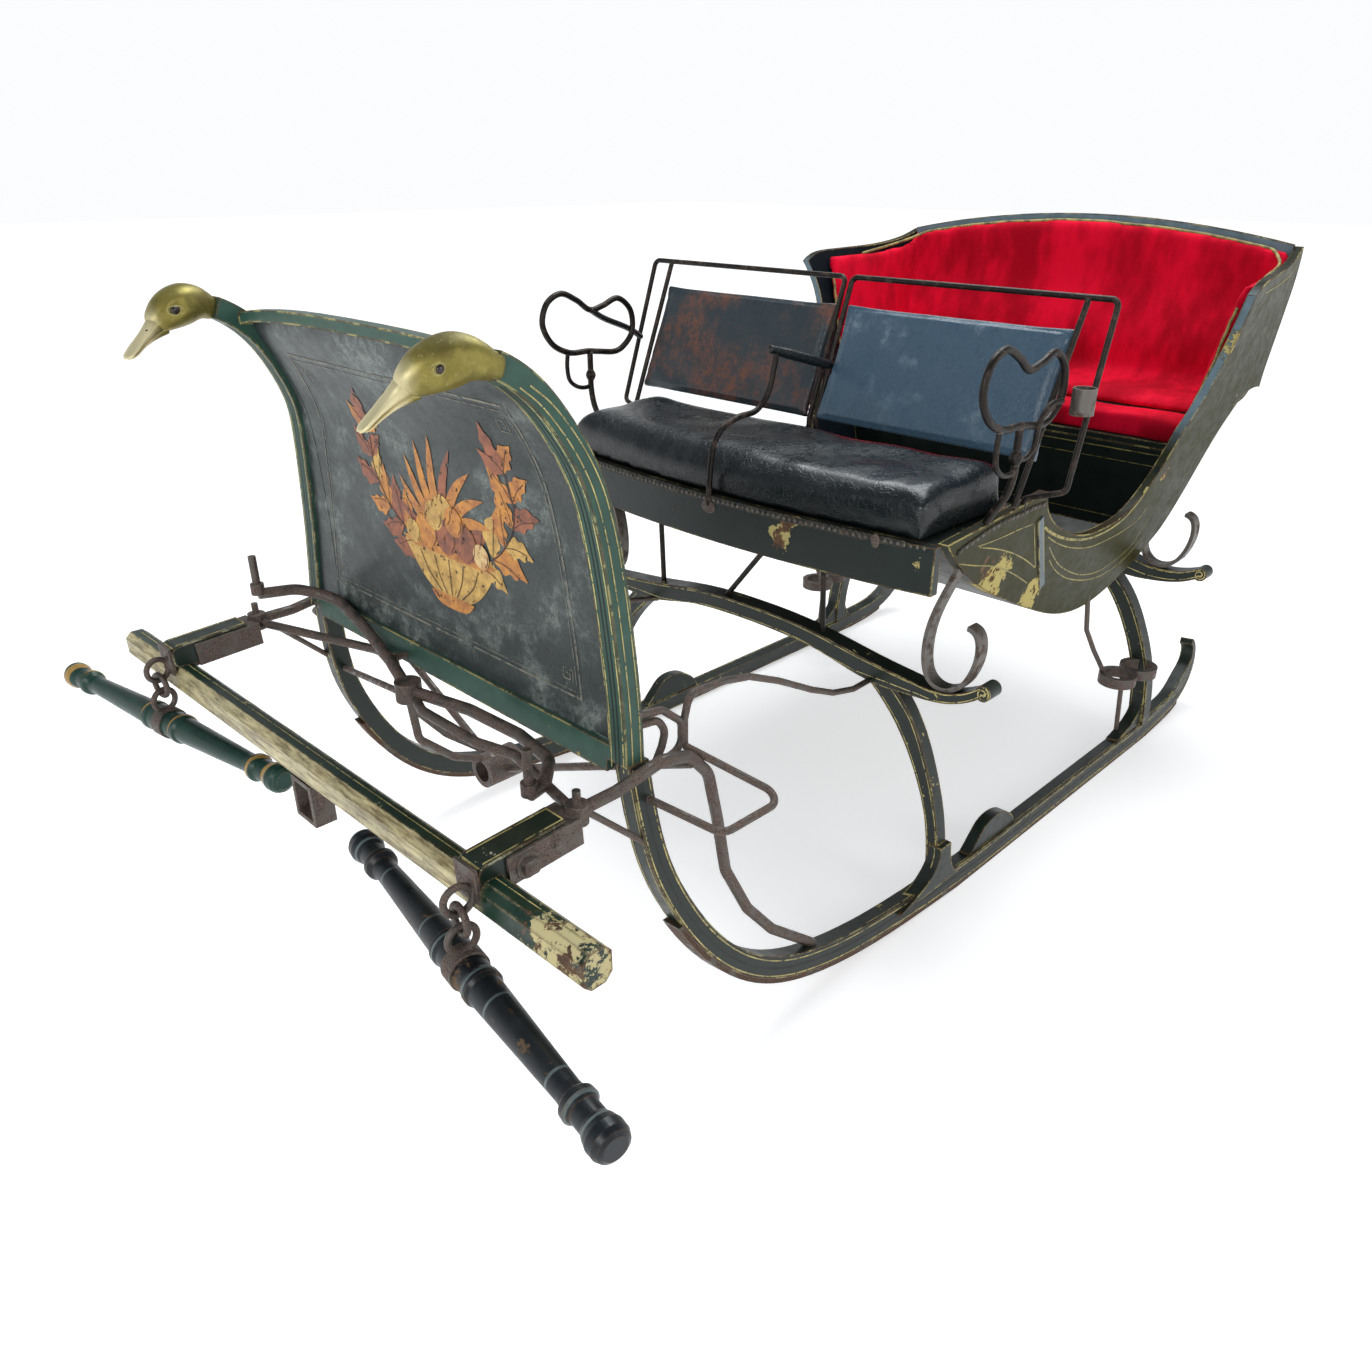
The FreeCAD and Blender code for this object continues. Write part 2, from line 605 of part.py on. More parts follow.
def make_dash_frame(runner):
    """Stiles, bottom rail and top rail of the dash in one frame."""
    foot_z = RUNNER_TOP_Z - DASH_FOOT_DROP
    window_z = foot_z + BOTTOM_RAIL_HEIGHT
    window = dash_front(STILE_WIDTH, foot_z).common(box(-FAR, FAR, -FAR, FAR, window_z, FAR))
    outline = dash_front(0, foot_z).cut(window)
    frame = dash_sheet(DASH_PROFILE_SHARES, 0, DASH_THICK).common(outline)
    block = box(RUNNER_TOP_HALF - RUNNER_WIDTH * 1.2, FAR, -FAR, FAR, 0, RUNNER_TOP_Z)
    frame = frame.fuse(make_top_rail())
    return trimmed(frame, [block, mirrored(block), runner, mirrored(runner)])


def make_dash_panel(frame):
    """The leather-faced panel inside the dash frame."""
    sheet = dash_sheet(PANEL_PROFILE_SHARES, PANEL_SET_BACK, PANEL_SET_BACK + PANEL_THICK)
    foot_z = RUNNER_TOP_Z - DASH_FOOT_DROP
    window = dash_front(STILE_WIDTH, foot_z)
    window = window.common(box(-FAR, FAR, -FAR, FAR, foot_z + BOTTOM_RAIL_HEIGHT, FAR))
    low = arch(0)
    deep = V(0, 0, -DASH_RISE)
    edges = [smooth(low), Part.makeLine(low[0], low[0] + deep),
             Part.makeLine(low[-1], low[-1] + deep), Part.makeLine(low[0] + deep, low[-1] + deep)]
    under_rail = prism(edges, ALONG_Y, -FAR, 0)
    return trimmed(sheet.common(window).common(under_rail), [frame])


def oval(centre, half_width, half_height):
    """An upright oval ring across the sleigh."""
    if half_width >= half_height:
        ellipse = Part.Ellipse(centre, half_width, half_height)
        tall = False
    else:
        ellipse = Part.Ellipse(centre, half_height, half_width)
        tall = True
    edge = ellipse.toShape()
    edge.rotate(centre, ALONG_X, 90)
    if tall:
        edge.rotate(centre, ALONG_Y, 90)
    return Part.Wire(edge)


def make_duck_head(frame):
    """A cast duck head whose neck meets the end of a stile."""

    def rings(shares):
        return [oval(V(HEAD_X + HEAD_LENGTH * x, NECK_Y - HEAD_LENGTH * ahead, NECK_Z + HEAD_HEIGHT * up),
                     HEAD_LENGTH * wide, HEAD_HEIGHT * high)
                for x, ahead, up, wide, high in shares]

    skull = Part.makeLoft(rings(HEAD_SHARES), True, False)
    bill = Part.makeLoft(rings(BILL_SHARES), True, False)
    return trimmed(skull.fuse(bill), [frame])


def make_bolster(y, half_length, crown_z, top_shares, beam_shares):
    """A wooden cross beam with upturned scroll ends."""
    points = [V(half_length * x, 0, crown_z + (BOLSTER_SEAT_Z - crown_z) * z)
              for x, z in from_middle(top_shares)]
    depths = [BOLSTER_DEPTH * s for s in beam_shares[:0:-1] + beam_shares]
    none = [0 for _ in points]
    half = BOLSTER_WIDTH / 2
    beam = bent_bar(points, none, depths, ALONG_Y, y - half, y + half)
    for end in (points[0], points[-1]):
        knob = Part.makeCylinder(SCROLL_RADIUS, BOLSTER_WIDTH,
                                 V(end.x, y - half, end.z - SCROLL_RADIUS), ALONG_Y)
        beam = beam.fuse(knob)
    return beam.removeSplitter()


def make_leg(y, foot_half, width, depth_shares, bolster, runner):
    """A bent wooden leg from the bolster down to the runner, with a spreading foot."""
    reach = foot_half - LEG_TOP_HALF
    points = [V(LEG_TOP_HALF + reach * x, 0, LEG_TOP_Z * z) for x, z in LEG_CURVE_SHARES]
    depths = [-LEG_DEPTH * s for s in depth_shares]
    none = [0 for _ in points]
    leg = bent_bar(points, none, depths, ALONG_Y, y - width / 2, y + width / 2)
    seat_z = SHOE_THICK + RUNNER_DEPTH
    toe = [V(0, y + FOOT_TOE * s, seat_z + FOOT_HEIGHT * z) for s, z in FOOT_CURVE_SHARES]
    heel = [V(0, y + FOOT_HEEL * s, seat_z + FOOT_HEIGHT * z) for s, z in HEEL_CURVE_SHARES]
    edges = [smooth(toe), smooth(heel), Part.makeLine(toe[-1], heel[0])]
    low = [V(0, toe[0].y, 0), V(0, heel[-1].y, 0)]
    edges.append(Part.makeLine(toe[0], low[0]))
    edges.append(Part.makeLine(low[0], low[1]))
    edges.append(Part.makeLine(low[1], heel[-1]))
    foot = prism(edges, ALONG_X, foot_half + SHOE_THICK / 2, foot_half + SHOE_THICK / 2 + FOOT_WIDTH)
    whole = leg.fuse(foot).cut(box(0, FAR, -FAR, FAR, -FAR, seat_z))
    return trimmed(whole, [bolster, runner])


def make_cover(runner):
    """Rounded wooden piece on top of the runner, behind the front leg."""
    seat_z = SHOE_THICK + RUNNER_DEPTH
    points = [V(0, COVER_Y + COVER_LENGTH * y, seat_z + COVER_HEIGHT * z) for y, z in COVER_SHARES]
    low = [V(0, points[0].y, 0), V(0, points[-1].y, 0)]
    edges = [smooth(points), Part.makeLine(points[0], low[0]), Part.makeLine(low[0], low[1]),
             Part.makeLine(low[1], points[-1])]
    middle = TRACK_HALF - RUNNER_WIDTH / 2 - SHOE_THICK
    cover = prism(edges, ALONG_X, middle - COVER_WIDTH / 2, middle + COVER_WIDTH / 2)
    cover = cover.common(box(0, FAR, -FAR, FAR, seat_z - SHOE_THICK, FAR))
    return trimmed(cover, [runner])


def tub_half(z):
    """Half width of the tub's outside at a height below its waist."""
    slope = (TUB_WAIST_HALF - TUB_FLOOR_HALF) / (TUB_WAIST_Z - TUB_FLOOR_Z)
    return TUB_FLOOR_HALF + slope * (z - TUB_FLOOR_Z)


def make_body_iron(y, rise, neighbours):
    """A flat iron hook: up to the body inside, curled outside."""
    top_half = tub_half(BOLSTER_SEAT_Z + rise) - IRON_SINK
    x = IRON_FOOT_HALF
    inner = x + IRON_REACH * IRON_FOOT_SHARES[0][0]
    points = [V(inner + (top_half - inner) * s, 0, BOLSTER_SEAT_Z + rise * z)
              for s, z in IRON_UP_SHARES]
    points += [V(x + IRON_REACH * s, 0, BOLSTER_SEAT_Z + IRON_CURL * z)
               for s, z in IRON_FOOT_SHARES]
    none = [0 for _ in points]
    thick = [-IRON_THICK for _ in points]
    half = IRON_WIDTH / 2
    iron = bent_bar(points, none, thick, ALONG_Y, y - half, y + half)
    return trimmed(iron, neighbours)


def flare(wall):
    """Space between the tub sides, drawn inwards by a wall."""
    def section(y, top_half, top_z):
        slope = (top_half - TUB_WAIST_HALF) / (top_z - TUB_WAIST_Z)
        low_slope = (TUB_WAIST_HALF - TUB_FLOOR_HALF) / (TUB_WAIST_Z - TUB_FLOOR_Z)
        high_z = TUB_CROWN_Z + OVERRUN / 4
        high = TUB_WAIST_HALF + slope * (high_z - TUB_WAIST_Z) - wall
        waist = TUB_WAIST_HALF - wall
        low_z = TUB_FLOOR_Z - OVERRUN / 4
        low = TUB_FLOOR_HALF - low_slope * OVERRUN / 4 - wall
        points = [V(low, y, low_z), V(waist, y, TUB_WAIST_Z), V(high, y, high_z),
                  V(-high, y, high_z), V(-waist, y, TUB_WAIST_Z), V(-low, y, low_z)]
        return Part.makePolygon(points + [points[0]])

    front = section(TUB_TIP_Y - OVERRUN, TUB_WING_HALF, TUB_WING_Z)
    wing = section(TUB_WING_Y, TUB_WING_HALF, TUB_WING_Z)
    back = section(TUB_BACK_Y, TUB_BACK_HALF, TUB_CORNER_Z)
    rear = section(TUB_BACK_Y + OVERRUN, TUB_BACK_HALF, TUB_CORNER_Z)
    solids = []
    for one, two in ((front, wing), (wing, back), (back, rear)):
        solids.append(Part.makeLoft([one, two], True, True))
    return solids[0].fuse(solids[1]).fuse(solids[2])


def tub_point(share_y, share_z):
    """A point of the tub's side outline, from shares of its length and height."""
    length = TUB_BACK_Y - TUB_TIP_Y
    height = TUB_CORNER_Z - TUB_FLOOR_Z
    return V(0, TUB_TIP_Y + length * share_y, TUB_FLOOR_Z + height * share_z)


def tub_edge(shares):
    """Smooth edge of the tub's side outline."""
    return smooth([tub_point(y, z) for y, z in shares])


def side_outline(low, high):
    """The side panel's outline as a prism across the sleigh."""
    edges = [tub_edge(shares) for shares in (TUB_BOTTOM_SHARES, TUB_UNDER_SHARES,
                                             TUB_BACK_SHARES[:-1], TUB_ENTRY_SHARES,
                                             TUB_WING_SHARES, TUB_TOP_SHARES)]
    tip = tub_point(*TUB_BOTTOM_SHARES[0])
    edges.append(Part.makeLine(tip, tub_point(*TUB_ENTRY_SHARES[0])))
    return prism(edges, ALONG_X, low, high)


def make_tub_side(outer, inner):
    """One flared side panel with its entry."""
    shell = side_outline(0, FAR / 2).common(outer)
    return shell.cut(inner)


def tub_strip(shares, thick, inner):
    """A board of the tub that follows part of the outline between the sides."""
    points = [tub_point(y, z) for y, z in shares]
    none = [0 for _ in points]
    inwards = [thick for _ in points]
    wide = bent_bar(points, none, inwards, ALONG_X, -TRACK_HALF * 2, TRACK_HALF * 2)
    return wide.common(inner)


def crown_cut():
    """Everything under the crowned top line of the back."""
    corner = V(TUB_BACK_HALF, 0, TUB_CORNER_Z)
    left = V(-TUB_BACK_HALF, 0, TUB_CORNER_Z)
    arc = Part.Arc(left, V(0, 0, TUB_CROWN_Z), corner).toShape()
    deep = V(0, 0, -TUB_CORNER_Z)
    edges = [arc, Part.makeLine(corner, corner + deep), Part.makeLine(left, left + deep),
             Part.makeLine(corner + deep, left + deep)]
    return prism(edges, ALONG_Y, -FAR, FAR)


def bowed_plan(end_y, bow, half, back_y, low, high):
    """A plan outline with a bowed front, as a prism upwards."""
    arc = Part.Arc(V(-half, end_y, 0), V(0, end_y - bow, 0), V(half, end_y, 0)).toShape()
    edges = [arc, Part.makeLine(V(half, end_y, 0), V(half, back_y, 0)),
             Part.makeLine(V(-half, end_y, 0), V(-half, back_y, 0)),
             Part.makeLine(V(half, back_y, 0), V(-half, back_y, 0))]
    return prism(edges, ALONG_Z, low, high)


def make_front_board():
    """The bowed front board of the driver's seat."""
    back_y = BOARD_END_Y + OVERRUN / 8
    outer = bowed_plan(BOARD_END_Y, BOARD_BOW, BOARD_HALF, back_y, BOARD_LOW_Z, BOARD_TOP_Z)
    inner = bowed_plan(BOARD_END_Y + BOARD_THICK, BOARD_BOW, BOARD_HALF, back_y + OVERRUN,
                       BOARD_LOW_Z, BOARD_TOP_Z)
    return outer.cut(inner)


def make_cushion():
    """The driver's cushion: a wedge that is higher at the back."""
    low = BOARD_TOP_Z + CUSHION_GAP
    plan = bowed_plan(BOARD_END_Y, BOARD_BOW, CUSHION_HALF, CUSHION_BACK_Y, low, low + OVERRUN)
    front_y = BOARD_END_Y - BOARD_BOW
    middle_z = low + (CUSHION_FRONT + CUSHION_BACK) * CUSHION_MIDDLE_SHARE
    top = [V(0, front_y - BOARD_THICK, low + CUSHION_FRONT * CUSHION_NOSE_SHARE),
           V(0, front_y + BOARD_THICK, low + CUSHION_FRONT),
           V(0, (front_y + CUSHION_BACK_Y) / 2, middle_z),
           V(0, CUSHION_BACK_Y + BOARD_THICK, low + CUSHION_BACK)]
    base = [V(0, top[-1].y, low), V(0, top[0].y, low)]
    edges = [smooth(top), Part.makeLine(top[-1], base[0]), Part.makeLine(base[0], base[1]),
             Part.makeLine(base[1], top[0])]
    return plan.common(prism(edges, ALONG_X, -CUSHION_HALF, CUSHION_HALF))


def rest_y(z):
    """Depth of the backrest's front face at a height."""
    return REST_FOOT_Y + REST_LEAN * (z - REST_FOOT_Z) / REST_RISE


def rail_y(z):
    """Depth of the outer rail's middle at a height."""
    knee_z = TUB_WAIST_Z + RAIL_BEND
    return RAIL_FOOT_Y + (RAIL_TOP_Y - RAIL_FOOT_Y) * (z - knee_z) / (RAIL_TOP_Z - knee_z)


def make_rail(neighbours):
    """Iron frame behind one backrest: two posts, the top rail and the outer rail."""
    foot_z = BOARD_TOP_Z - DECK_THICK
    side_x = TUB_WAIST_HALF - SIDE_THICK / 2
    behind = REST_THICK / 2
    frame = bent_rod([V(RAIL_INNER_X, RAIL_BACK_Y, foot_z),
                      V(RAIL_INNER_X, RAIL_BACK_Y, REST_FOOT_Z),
                      V(RAIL_INNER_X, RAIL_TOP_Y, RAIL_TOP_Z),
                      V(RAIL_OUTER_X, RAIL_TOP_Y, RAIL_TOP_Z),
                      V(RAIL_OUTER_X + RAIL_SPLAY, RAIL_FOOT_Y, TUB_WAIST_Z + RAIL_BEND),
                      V(side_x, RAIL_FOOT_Y - RAIL_BEND / 2, TUB_WAIST_Z - RAIL_RADIUS * 2),
                      V(side_x, RAIL_FOOT_Y - RAIL_BEND / 2, TUB_WAIST_Z - RAIL_RADIUS * 7)],
                     RAIL_RADIUS, RAIL_BEND)
    post = rod(V(RAIL_POST_X - SIDE_THICK / 2, rest_y(foot_z) + behind, TUB_WAIST_Z - SIDE_THICK),
               V(RAIL_POST_X, RAIL_TOP_Y, RAIL_TOP_Z), RAIL_RADIUS)
    return trimmed(frame.fuse(post), neighbours)


def make_backrest(rail):
    """A leather-covered board between two posts."""
    angle = math.degrees(math.atan(REST_LEAN / REST_RISE))
    length = math.hypot(REST_LEAN, REST_RISE)
    board = box(RAIL_INNER_X, RAIL_POST_X - RAIL_RADIUS / 2, REST_FOOT_Y, REST_FOOT_Y + REST_THICK,
                REST_FOOT_Z, REST_FOOT_Z + length)
    board.rotate(V(0, REST_FOOT_Y, REST_FOOT_Z), ALONG_X, -angle)
    return trimmed(board, [rail])


def loop_points(shares):
    """Points in the armrest's upright plane, from shares of its length and height."""
    return [V(LOOP_X, LOOP_MIDDLE_Y + LOOP_LENGTH * y, LOOP_LOW_Z + LOOP_HEIGHT * z)
            for y, z in shares]


def make_arm_loop():
    """Butterfly-shaped loop of bent rod on a post with a knob and a curl."""
    loop = bent_rod(loop_points(LOOP_SHARES), LOOP_RADIUS, LOOP_BEND)
    post = bent_rod([V(LOOP_X, LOOP_MIDDLE_Y, LOOP_LOW_Z), V(LOOP_X, LOOP_MIDDLE_Y, POST_KNEE_Z),
                     V(TUB_WAIST_HALF - SIDE_THICK / 2, LOOP_MIDDLE_Y, POST_FOOT_Z)],
                    LOOP_RADIUS, LOOP_BEND)
    knob = Part.makeSphere(POST_KNOB_RADIUS, V(LOOP_X, LOOP_MIDDLE_Y, POST_KNOB_Z))
    curl = bent_rod(loop_points(CURL_SHARES), CURL_RADIUS, LOOP_BEND)
    return loop.fuse(post).fuse(knob).fuse(curl)


def make_left_arm(whip_y, neighbours):
    """The left armrest, with a bent stay back to the whip socket."""
    start = V(LOOP_X, LOOP_MIDDLE_Y, LOOP_LOW_Z)
    end = V(RAIL_OUTER_X, whip_y, LOOP_LOW_Z + LOOP_HEIGHT)
    stay = bent_rod(between(STAY_SHARES, start, end), CURL_RADIUS, LOOP_BEND)
    return trimmed(make_arm_loop().fuse(stay), neighbours)


def make_right_arm(neighbours):
    """The right armrest, with a wrapped grip from the loop's dip to the rail."""
    dip = loop_points(LOOP_SHARES)[7]
    grip = rod(dip, V(RAIL_OUTER_X, rail_y(GRIP_LOW_Z), GRIP_LOW_Z), LOOP_RADIUS)
    return trimmed(mirrored(make_arm_loop().fuse(grip)), neighbours)


def make_centre_arm(neighbours):
    """S-shaped rod from the front board to a wrapped grip at the backrest posts."""
    face = BOARD_END_Y - BOARD_BOW
    points = [V(CENTRE_X, face + CENTRE_REACH * y, CENTRE_FOOT_Z + CENTRE_HEIGHT * z)
              for y, z in CENTRE_SHARES]
    shape = bent_rod(points, CENTRE_ROD_RADIUS, LOOP_BEND)
    tip = V(CENTRE_X, rest_y(CENTRE_TIP_Z) + REST_THICK, CENTRE_TIP_Z)
    grip = rod(points[-1], tip, GRIP_RADIUS)
    return trimmed(shape.fuse(grip), neighbours)


def whip_axis_y():
    """Depth of the whip socket's middle, just in front of the outer rail."""
    return rail_y(WHIP_Z) - WHIP_RADIUS - RAIL_RADIUS * WHIP_TOUCH


def whip_base():
    """Middle of the whip socket's lower end."""
    share = (RAIL_TOP_Z - WHIP_Z) / (RAIL_TOP_Z - TUB_WAIST_Z)
    return V(RAIL_OUTER_X + RAIL_SPLAY * share, whip_axis_y(), WHIP_Z)


def make_whip_socket(rail):
    """Short open cylinder clamped to the outer rail."""
    base = whip_base()
    middle = base + V(0, 0, WHIP_HEIGHT / 2)
    outer = Part.makeCylinder(WHIP_RADIUS, WHIP_HEIGHT, base)
    bore = Part.makeCylinder(WHIP_BORE, WHIP_HEIGHT, base)
    clip = rod(middle, V(base.x, rail_y(middle.z), middle.z), RAIL_RADIUS)
    return trimmed(outer.fuse(clip), [bore, rail])


def block_start_x():
    """Inner face of a draft block, cheek included."""
    return ARM_X - BLOCK_WIDTH / 2 - CHEEK_THICK


def make_block():
    """Wooden block at the front of a draft arm, its nose rounded."""
    x0 = block_start_x()
    block = box(x0, x0 + BLOCK_WIDTH, BLOCK_FRONT_Y, BLOCK_FRONT_Y + BLOCK_LENGTH,
                BLOCK_FRONT_Z, BLOCK_FRONT_Z + BLOCK_HEIGHT)
    nose = [edge for edge in block.Edges
            if edge.CenterOfMass.isEqual(V(x0 + BLOCK_WIDTH / 2, BLOCK_FRONT_Y, edge.CenterOfMass.z), 1)]
    block = block.makeFillet(BLOCK_NOSE, nose)
    block.rotate(V(0, BLOCK_FRONT_Y, BLOCK_FRONT_Z), ALONG_X, BLOCK_SLOPE)
    return block


def make_draft_iron(block, neighbours):
    """Iron arm: cheeks round the block, a boss, and the bar down to the runner."""
    x0 = block_start_x()
    rear_y = BLOCK_FRONT_Y + BLOCK_LENGTH
    end_y = rear_y + BLOCK_HEIGHT / 2
    low = BLOCK_FRONT_Z + CHEEK_THICK
    high = BLOCK_FRONT_Z + BLOCK_HEIGHT - CHEEK_THICK
    cheek = box(x0 + BLOCK_WIDTH, x0 + BLOCK_WIDTH + CHEEK_THICK,
                BLOCK_FRONT_Y + BLOCK_HEIGHT, end_y, low, high)
    inner = cheek.copy()
    inner.translate(V(-BLOCK_WIDTH - CHEEK_THICK, 0, 0))
    web = box(x0 - CHEEK_THICK, x0 + BLOCK_WIDTH + CHEEK_THICK, rear_y, end_y, low, high)
    strap = box(x0, x0 + BLOCK_WIDTH, BLOCK_FRONT_Y - CHEEK_THICK, rear_y,
                BLOCK_FRONT_Z - CHEEK_THICK, BLOCK_FRONT_Z)
    lip = box(x0 - CHEEK_THICK, x0 + BLOCK_WIDTH + CHEEK_THICK, BLOCK_FRONT_Y + BLOCK_HEIGHT,
              end_y, BLOCK_FRONT_Z - CHEEK_THICK, low)
    fork = cheek.fuse(web).fuse(inner).fuse(lip).fuse(strap)
    fork.rotate(V(0, BLOCK_FRONT_Y, BLOCK_FRONT_Z), ALONG_X, BLOCK_SLOPE)
    path = between(ARM_SHARES, V(ARM_X, ARM_NECK_Y, ARM_LAND_Z),
                   V(ARM_LAND_X, ARM_NECK_Y + ARM_REACH, ARM_LAND_Z + ARM_DROP))
    bar = bent_rod(path, ARM_RADIUS, ARM_BEND)
    foot = V(ARM_X, BOSS_Y, BOSS_Z)
    boss = Part.makeCylinder(BOSS_RADIUS, BOSS_HEIGHT, foot)
    knob = Part.makeCylinder(KNOB_RADIUS, KNOB_HEIGHT, foot)
    strap_end = V(ARM_X - BOSS_RADIUS / 2, STRAP_END_Y, STRAP_END_Z)
    strap_rod = rod(V(ARM_X, BOSS_Y + BOSS_RADIUS, BOSS_Z + ARM_RADIUS), strap_end, STRAP_RADIUS)
    iron = fork.fuse(bar).fuse(boss).fuse(knob).fuse(strap_rod)
    return trimmed(iron, neighbours + [block])


def make_crossbar():
    """Straight eight-sided wooden bar under the blocks, lower on the right."""
    half_h = CROSSBAR_HEIGHT / 2
    half_d = CROSSBAR_DEPTH / 2
    cut = CROSSBAR_CHAMFER
    outline = [(half_d, half_h - cut), (half_d - cut, half_h), (cut - half_d, half_h),
               (-half_d, half_h - cut), (-half_d, cut - half_h), (cut - half_d, -half_h),
               (half_d - cut, -half_h), (half_d, cut - half_h)]
    points = [V(0, CROSSBAR_Y + y, CROSSBAR_Z + z) for y, z in outline]
    bar = prism(polygon(points), ALONG_X, -CROSSBAR_HALF, CROSSBAR_HALF)
    bar.rotate(V(0, CROSSBAR_Y, CROSSBAR_Z), ALONG_Y, -CROSSBAR_TILT)
    return bar


def make_pole_loop():
    """Square iron loop under the crossbar that held the pole."""
    half = POLE_LOOP_WIDTH / 2
    top = CROSSBAR_Z - CROSSBAR_HEIGHT / 2
    low = top - POLE_LOOP_HEIGHT
    depth = POLE_LOOP_DEPTH / 2
    outer = box(-half, half, CROSSBAR_Y - depth, CROSSBAR_Y + depth, low, top)
    wall = POLE_LOOP_WALL
    return outer.cut(box(-half + wall, half - wall, -FAR, FAR, low + wall, top - wall))


def make_hook_bar(neighbours):
    """Wavy iron bar with an upright pin at each end, its boss and its braces."""
    z = HOOK_BAR_Z
    low = z - BRACE_DROP
    start = V(0, HOOK_BAR_Y, z)
    reach = V(HOOK_BAR_HALF, HOOK_BAR_SWEEP, HOOK_BAR_RISE)
    left = between(HOOK_LEFT_SHARES, start, start + reach)
    right = between(HOOK_RIGHT_SHARES, start, start + V(-reach.x, reach.y, reach.z))
    shape = bent_rod(left, HOOK_BAR_RADIUS, ARM_BEND).fuse(bent_rod(right, HOOK_BAR_RADIUS, ARM_BEND))
    for end in (left[-1], right[-1]):
        shape = shape.fuse(Part.makeCylinder(PIN_RADIUS, PIN_HEIGHT, end))
        shape = shape.fuse(Part.makeCylinder(PIN_COLLAR_RADIUS, PIN_COLLAR_HEIGHT, end))
    for shares, side in ((BRACE_LEFT_SHARES, 1), (BRACE_RIGHT_SHARES, -1)):
        path = [V(side * ARM_X * x, HOOK_BAR_Y + HOOK_BAR_SWEEP * y, low) for x, y in shares]
        shape = shape.fuse(bent_rod(path, BRACE_RADIUS, ARM_BEND))
    boss_z = z - CENTRE_BOSS_HEIGHT / 2
    boss = Part.makeCylinder(CENTRE_BOSS_RADIUS, CENTRE_BOSS_HEIGHT, V(0, HOOK_BAR_Y, boss_z))
    bracket_z = RUNNER_TOP_Z - DASH_FOOT_DROP / 4
    bracket = rod(V(-BRACKET_X, HOOK_BAR_Y + HOOK_BAR_SWEEP / 2, bracket_z),
                  V(-BRACKET_X, DASH_FRONT_Y, bracket_z), BRACKET_RADIUS)
    tie = rod(V(0, HOOK_BAR_Y, boss_z + BRACKET_RADIUS), V(-ARM_X, TIE_END_Y, TIE_END_Z),
              BRACKET_RADIUS)
    return trimmed(shape.fuse(boss).fuse(bracket).fuse(tie), neighbours)


def make_pole_socket(hooks):
    """Rear socket for the pole, on a hanger from the hook bar's boss."""
    base = V(0, POLE_SOCKET_Y - POLE_SOCKET_LENGTH / 2, POLE_SOCKET_Z)
    outer = Part.makeCylinder(POLE_SOCKET_RADIUS, POLE_SOCKET_LENGTH, base, ALONG_Y)
    bore = Part.makeCylinder(POLE_SOCKET_BORE, POLE_SOCKET_LENGTH, base, ALONG_Y)
    top = V(0, HOOK_BAR_Y, HOOK_BAR_Z - CENTRE_BOSS_HEIGHT / 2)
    rim = (POLE_SOCKET_RADIUS + POLE_SOCKET_BORE) / 2
    foot = V(0, base.y + HANGER_RADIUS, POLE_SOCKET_Z + rim)
    hanger = bent_rod(between(HANGER_SHARES, top, foot), HANGER_RADIUS, LOOP_BEND)
    return trimmed(outer.fuse(hanger), [bore, hooks])


def make_socket_stays(neighbours):
    """Rods from both draft irons down to the pole socket."""
    stay = rod(V(POLE_SOCKET_BORE, POLE_SOCKET_Y, POLE_SOCKET_Z),
               V(ARM_X, SOCKET_STAY_Y, SOCKET_STAY_Z), SOCKET_STAY_RADIUS)
    stay = trimmed(stay, neighbours)
    return Part.makeCompound([stay, mirrored(stay)])


def make_singletree():
    """Turned bar with its clip ring, yawed as it hangs, on the left side."""
    half = [(SINGLETREE_HALF * x, SINGLETREE_RADIUS * r) for x, r in TURNED_SHARES]
    profile = [V(-x, 0, r) for x, r in reversed(half)] + [V(x, 0, r) for x, r in half[1:]]
    ends = [V(SINGLETREE_HALF, 0, 0), V(-SINGLETREE_HALF, 0, 0)]
    face = Part.Face(Part.makePolygon(profile + ends + [profile[0]]))
    bar = face.revolve(V(), ALONG_X, 360)
    return bar


def make_clip():
    """Iron band round the middle of a singletree, with a ring standing on it."""
    radius = SINGLETREE_RADIUS + BAND_THICK
    band = Part.makeCylinder(radius, BAND_WIDTH, V(-BAND_WIDTH / 2, 0, 0), ALONG_X)
    ring = Part.makeTorus(RING_RADIUS, RING_ROD, V(0, 0, SINGLETREE_RADIUS + RING_RADIUS), ALONG_X)
    return band.fuse(ring)


def placed_singletree(shape):
    """Move a singletree piece to its hanging place on the left side."""
    shape.rotate(V(), ALONG_Z, -SINGLETREE_YAW)
    shape.translate(V(SINGLETREE_X, SINGLETREE_Y, SINGLETREE_Z))
    return shape


def ring_step():
    """Height between the centres of two rings that hang in each other."""
    return 2 * RING_RADIUS - 2 * RING_ROD - RING_GAP


def make_link():
    """Loose ring between the singletree's ring and the eye at the block's nose."""
    height = SINGLETREE_RADIUS + RING_RADIUS + ring_step()
    return placed_singletree(Part.makeTorus(RING_RADIUS, RING_ROD, V(0, 0, height), ALONG_Y))


def make_nose_eye(neighbours):
    """Iron strap round the block's nose, with the eye that carries the loose ring."""
    height = SINGLETREE_RADIUS + RING_RADIUS + 2 * ring_step()
    eye = placed_singletree(Part.makeTorus(RING_RADIUS, RING_ROD, V(0, 0, height), ALONG_X))
    x0 = block_start_x()
    strap = box(x0, x0 + BLOCK_WIDTH, BLOCK_FRONT_Y - CHEEK_THICK, BLOCK_FRONT_Y,
                BLOCK_FRONT_Z - BLOCK_HEIGHT / 4, BLOCK_FRONT_Z + BLOCK_HEIGHT)
    strap.rotate(V(0, BLOCK_FRONT_Y, BLOCK_FRONT_Z), ALONG_X, BLOCK_SLOPE)
    return trimmed(eye.fuse(strap), neighbours)


